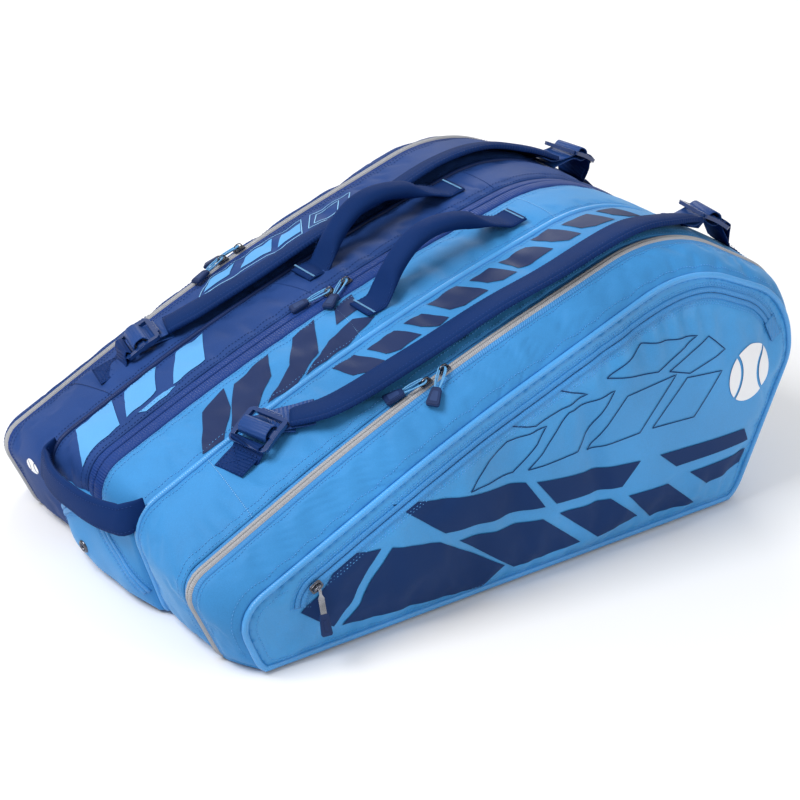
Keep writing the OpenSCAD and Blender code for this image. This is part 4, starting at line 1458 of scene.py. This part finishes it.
def plate_pull(m, name, body):
    """Metal plate pull with a moulded end."""
    local = m @ shift(0, 0, 0.0046)
    path = smooth_line([(0, -1.9, -0.1), (0, -0.6, 0.5), (0, 1.2, 0.4), (0, 3.6, 0), (-0.6, 5.0, 0)], 18) * MM
    v, f, _ = tube(path, *frames_along(path, UP)[1:], ring(0.0009, 8))
    add_placed(local, f"{name}_eye", v, f, "gunmetal", body, "puller_metal", (name,))
    tilt = local @ shift(0, 0.0034, 0) @ turned("z", -60)
    plate = [(1, -1.5), (-5, -1.5), (-8, -3.2), (-25, -3.2), (-25, 3.2), (-8, 3.2), (-5, 1.5), (1, 1.5)]
    plate = prism(mm(plate), -0.0008, 0.0008)
    moulded(tilt, f"{name}_plate", plate, "pull_metal", body, "puller_metal", 0.0004)
    end = [(-24, -4.2), (-26, -4.6), (-44, -5.8), (-46, -4.6), (-46, 4.6), (-44, 5.8), (-26, 4.6), (-24, 4.2)]
    rib = [(-41, -2.2), (-30, -2.2), (-30, 2.2), (-41, 2.2)]
    end = joined([prism(mm(end), -0.0014, 0.0014), prism(mm(rib), 0.0013, 0.0019)])
    moulded(tilt, f"{name}_end", end, "rubber", body, "pull_rubber", 0.0006, 3)


MIRROR = np.diag([1.0, -1.0, 1.0, 1.0])
for side in (NEAR, FAR):
    who = SIDE_NAME[side]
    flip = MIRROR if side == NEAR else np.eye(4)
    for end, x, angles in (("front", MAIN_SLIDER_X[0], (-35, 5, -12)),
                           ("rear", MAIN_SLIDER_X[1], (14, 1.6, 0))):
        m = flip @ on_zip(x, ZIP_Y, 0.0026) @ turned("x", -8)
        slider(m, f"{who}_slider_{end}", f"{who}_slider_{end}")
        cord_pull(m, f"{who}_pull_{end}", f"{who}_pull_{end}", *angles)
    angle = math.degrees(math.asin((POCKET_SLIDER_X - POCKET_CENTRE[0]) / POCKET_RADIUS))
    m = (flip @ shift(POCKET_CENTRE[0], 0, POCKET_CENTRE[1]) @ turned("y", angle)
         @ shift(0, dome_y(POCKET_SHARE), POCKET_RADIUS) @ turned("x", -66) @ shift(0, 0, 0.0038))
    slider(m, f"{who}_pocket_slider", f"{who}_pocket_slider")
    plate_pull(m, f"{who}_pocket_pull", f"{who}_pocket_pull")
for end, x, angles in (("front", MID_SLIDER_X[0], (28, 5, 0)), ("rear", MID_SLIDER_X[1], (-14, 5, 0))):
    m = on_zip(x, 0.0, 0.0028)
    slider(m, f"mid_slider_{end}", f"mid_slider_{end}")
    cord_pull(m, f"mid_pull_{end}", f"mid_pull_{end}", *angles)


# ---------------------------------------------------------------- end pocket and base
END_HALF, END_LOW, END_HIGH = 0.0875, 0.0045, 0.103


def end_point(y, z, off=0.0):
    """Point on the sloping end wall, standing off from it."""
    mid, zip_line = np.array(MID_PROFILE, float), np.array(ZIP_PROFILE, float)
    k = (min(abs(y), ZIP_Y) / ZIP_Y) ** 1.5
    a, b = mid[0] * (1 - k) + zip_line[0] * k, mid[1] * (1 - k) + zip_line[1] * k
    return np.array([(a[0] + (b[0] - a[0]) * (z * 1000) / b[1]) * MM - off, y, z])


def end_zip(y):
    """Height of the end pocket's zip, an arch that hangs lower on its near side."""
    return 0.086 - (0.036 if y > 0 else 0.060) * (abs(y) / 0.082) ** 2


def pocket_bulge(y, z):
    """How far the end pocket stands off the end wall."""
    s = np.clip((z - 0.004) / 0.097, 0, 1)
    edge = np.clip(1 - (abs(y) / END_HALF) ** 4, 0, 1)
    body = 0.0165 * edge * np.sin(math.pi * s ** 0.55) ** 0.75
    fold = 0.0012 * math.sin(y * 80 + 0.6) * math.sin(z * 90 + y * 30) * edge
    tuck = 0.0016 * math.exp(-((z - end_zip(y)) / 0.010) ** 2) * edge
    rim = min(1.0, min(END_HIGH - z, END_HALF - abs(y)) / 0.005)
    return -0.0015 + 0.0052 * rim * (2 - rim) + body + fold - tuck


def end_pocket():
    ys, zs = np.linspace(-END_HALF, END_HALF, 90), np.linspace(END_LOW, END_HIGH, 60)
    yz = np.array([[(y, z) for z in zs] for y in ys])
    verts = [end_point(y, z, pocket_bulge(y, z)) for y, z in yz.reshape(-1, 2)]
    pocket = add("end_pocket_fabric", verts, grid_faces(*yz.shape[:2], flip=True), "blue", "core",
                 "blue_fabric", ("end_pocket",), yz.reshape(-1, 2), back="lining")
    thicken(pocket, 0.0012)
    return Patch(pocket)


patches["core", "end"] = end_pocket()


def on_end(yz, lift=0.0004):
    """Points given as (y, z), laid on the end pocket."""
    p = np.array([end_point(y, z, pocket_bulge(y, z)) for y, z in yz])
    return patches["core", "end"].lay(p, np.array([-1.0, 0.0, -0.26]) / 1.033, lift)


def end_trim():
    """The end pocket's zip lips and rows of stitches."""
    key = ("end_stitches", "blue_thread", "core", "blue_fabric")
    line = np.array([(y, end_zip(y)) for y in np.linspace(-0.081, 0.081, 90)])
    forward = unit(np.gradient(line, axis=0))
    normal = np.stack([-forward[:, 1], forward[:, 0]], 1)
    for word, sign, node in (("upper", 1, ("end_pocket_zip",)), ("lower", -1, ())):
        p, n = on_end(line + normal * sign * 0.0032, 0.0005)
        verts, faces, uv = tube(p, *frames_along(p, n)[1:], oval_section(0.0062, 0.0034, 2.4, 12))
        add(f"end_zip_lip_{word}", verts, faces, "blue_tape", "core", "silver_zip", node, uv)
        for away in (0.0085, 0.0108):
            p, n = on_end(fine_line(line + normal * sign * away), 0.0004)
            thread.row(key, p[3:-3] + n[3:-3] * 0.0003, n[3:-3])
    foot = np.array([(y, 0.011) for y in np.linspace(-0.080, 0.080, 60)])
    thread.row(key, *on_end(foot, 0.0003))


def ring_faces(rings, n):
    """Quads between rings of n points each."""
    return [(k * n + i, k * n + (i + 1) % n, (k + 1) * n + (i + 1) % n, (k + 1) * n + i)
            for k in range(rings - 1) for i in range(n)]


def vent_eyelet():
    """Metal eyelet that vents the end pocket: a rolled ring, and a dark disc of lining cloth in its hole as
    painted shade of the inside.
    """
    centre, out = on_end(np.array([(0.030, 0.033), (0.0301, 0.033)]), 0.0008)
    centre, out = centre[0], unit(out[0])
    flat_side = unit(np.cross(out, UP))
    flat_up = np.cross(flat_side, out)
    around = np.linspace(0, 2 * math.pi, 37)[:-1]
    radial = flat_side[None] * np.cos(around)[:, None] + flat_up[None] * np.sin(around)[:, None]
    # (radius, height) from the bore over the rolled edge to the cloth
    section = [(0.0039, -0.001), (0.0041, 0.0008), (0.0050, 0.0017), (0.0062, 0.0015), (0.0074, 0.0002),
               (0.0074, -0.0012)]
    verts = np.concatenate([centre + radial * r + out * h for r, h in section])
    add("vent_ring", verts, ring_faces(len(section), len(around)), "gunmetal", "core", "eyelet_metal",
        ("vent_eyelet",))
    n = len(around)
    # dark disc of lining cloth over the uncut fabric: painted shade inside the eyelet's hole
    verts = np.concatenate([centre[None] + out * 0.0001, centre + radial * 0.0042 + out * 0.0001])
    add("vent_opening_painted_shade", verts, [(0, 1 + i, 1 + (i + 1) % n) for i in range(n)], "lining", "core", "lining")


def base_board():
    """Stiffened base, a little inside the walls, with a dark binding round it; its dark cloth is also painted
    contact shadow where it shows under the walls.
    """
    foot = []
    for y in np.linspace(-(PANEL_Y - 0.003), PANEL_Y - 0.003, 41):
        p, _ = arch(abs(y))
        foot.append((p[0][0] + 0.006, p[-1][0] - 0.006, y))
    foot = np.array(foot)
    rim = np.concatenate([foot[:, [0, 2]], foot[::-1, 1:]])
    levels = [(0.0, 0.003), (0.0012, 0.0012), (0.0035, 0.0002), (0.0062, 0.0012)]
    inwards = unit(rim - rim.mean(0))
    n = len(rim)
    verts = np.concatenate([np.column_stack([rim - inwards * inset, np.full(n, z)]) for z, inset in levels])
    faces = [face[::-1] for face in ring_faces(len(levels), n)]
    for k in (0, len(levels) - 1):
        rows = [(k * n + i, k * n + i + 1, k * n + n - 2 - i, k * n + n - 1 - i) for i in range(n // 2 - 1)]
        faces += [r[::-1] if k == 0 else r for r in rows]
    # dark base cloth, partly painted contact shadow at the foot of the walls
    add("base_board", verts, faces, "base", "core", "base_fabric", ("base_panel",))


def turned_under(side, part, body, y0, y1):
    """Fabric turned under at both ends, down to the ground."""
    # (distance in under the bag, height)
    section = [(-0.0004, 0.0076), (0.0004, 0.0050), (0.0018, 0.0026), (0.0042, 0.0010), (0.0085, 0.0003)]
    parts = []
    for end, inwards in ((0, 1), (-1, -1)):
        grid = np.array([[(arch(y)[0][end][0] + inwards * a, side * y, z) for a, z in section]
                         for y in np.linspace(y0, y1, 16)])
        parts.append((grid.reshape(-1, 3), grid_faces(*grid.shape[:2], flip=inwards * side > 0)))
    add(f"{SIDE_NAME[side]}_{part}_turn_under", *joined(parts), LOOK[side]["mat"], body, LOOK[side]["slot"])


end_trim()
vent_eyelet()
base_board()
for side in (NEAR, FAR):
    turned_under(side, "core", "core", 0.0, ZIP_Y - 0.003)
    turned_under(side, "cover", f"{SIDE_NAME[side]}_cover", ZIP_Y + 0.003, PANEL_Y - 0.004)

thread.finish()


# ---------------------------------------------------------------- CAD nodes that stay
def paint(mat, *nodes):
    for name in nodes:
        slots = frame["nodes"][name].material_slots
        for s in slots:
            s.material = M[mat]
        if not slots:
            frame["nodes"][name].data.materials.append(M[mat])


paint("lining", "near_divider", "far_divider", "near_side_wall", "far_side_wall")


# ---------------------------------------------------------------- floor, light and camera
def stage_material():
    mat, nodes, links, shader = new_material("pale_floor")
    place = nodes.new("ShaderNodeTexCoord").outputs["Object"]
    links.new(ramp(nodes, links, noise_node(nodes, links, place, 1.5),
                   [(0.3, (0.88, 0.88, 0.89)), (0.7, (0.9, 0.9, 0.9))]),
              shader.inputs["Base Color"])
    shader.inputs["Roughness"].default_value = 0.9
    return mat


def floor():
    mesh = bpy.data.meshes.new("floor")
    r = 40.0
    mesh.from_pydata([(-r, -r, 0), (r, -r, 0), (r, r, 0), (-r, r, 0)], [], [(0, 1, 2, 3)])
    obj = bpy.data.objects.new("floor", mesh)
    mesh.materials.append(stage_material())
    bpy.context.scene.collection.objects.link(obj)
    obj.location.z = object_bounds()[0].z - 0.0003
    obj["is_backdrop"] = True


def light(name, place, target, size, power, colour=(1, 1, 1)):
    data = bpy.data.lights.new(name, "AREA")
    data.shape = "RECTANGLE"
    data.size, data.size_y = size
    data.energy = power
    data.color = colour
    obj = bpy.data.objects.new(name, data)
    obj.location = place
    obj.rotation_euler = (Vector(target) - Vector(place)).to_track_quat("-Z", "Y").to_euler()
    bpy.context.scene.collection.objects.link(obj)


def camera():
    """Camera at three-quarter view from the handle end, above the near side."""
    azimuth, elevation, roll = math.radians(-35.94), math.radians(26.06), math.radians(0.577)
    back = Vector((math.sin(azimuth) * math.cos(elevation), -math.cos(azimuth) * math.cos(elevation),
                   math.sin(elevation)))
    right = (-back).cross(Vector((0, 0, 1))).normalized()
    up = right.cross(-back)
    r2 = right * math.cos(roll) + up * math.sin(roll)
    u2 = up * math.cos(roll) - right * math.sin(roll)
    data = bpy.data.cameras.new("camera")
    data.lens = 99.3
    data.sensor_width = 36
    obj = bpy.data.objects.new("camera", data)
    rotation = np.array([r2, u2, back]).T
    obj.matrix_world = Matrix.Translation((-1.2858, -1.7841, 1.1857)) @ Matrix(rotation.tolist()).to_4x4()
    bpy.context.scene.collection.objects.link(obj)
    bpy.context.scene.camera = obj


def world():
    w = bpy.data.worlds.new("studio")
    w.use_nodes = True
    w.node_tree.nodes["Background"].inputs["Color"].default_value = (1, 1, 1, 1)
    w.node_tree.nodes["Background"].inputs["Strength"].default_value = 0.55
    bpy.context.scene.world = w


floor()
light("key", (-1.8, 0.1, 2.4), (0, 0, 0.15), (1.5, 1.3), 72)
light("fill", (1.2, -2.6, 1.3), (0, 0, 0.1), (1.6, 1.6), 18)
light("rim", (1.4, 1.9, 1.8), (0, 0, 0.2), (1.4, 1.0), 26)
camera()
world()
bpy.context.scene.view_settings.view_transform = "Standard"
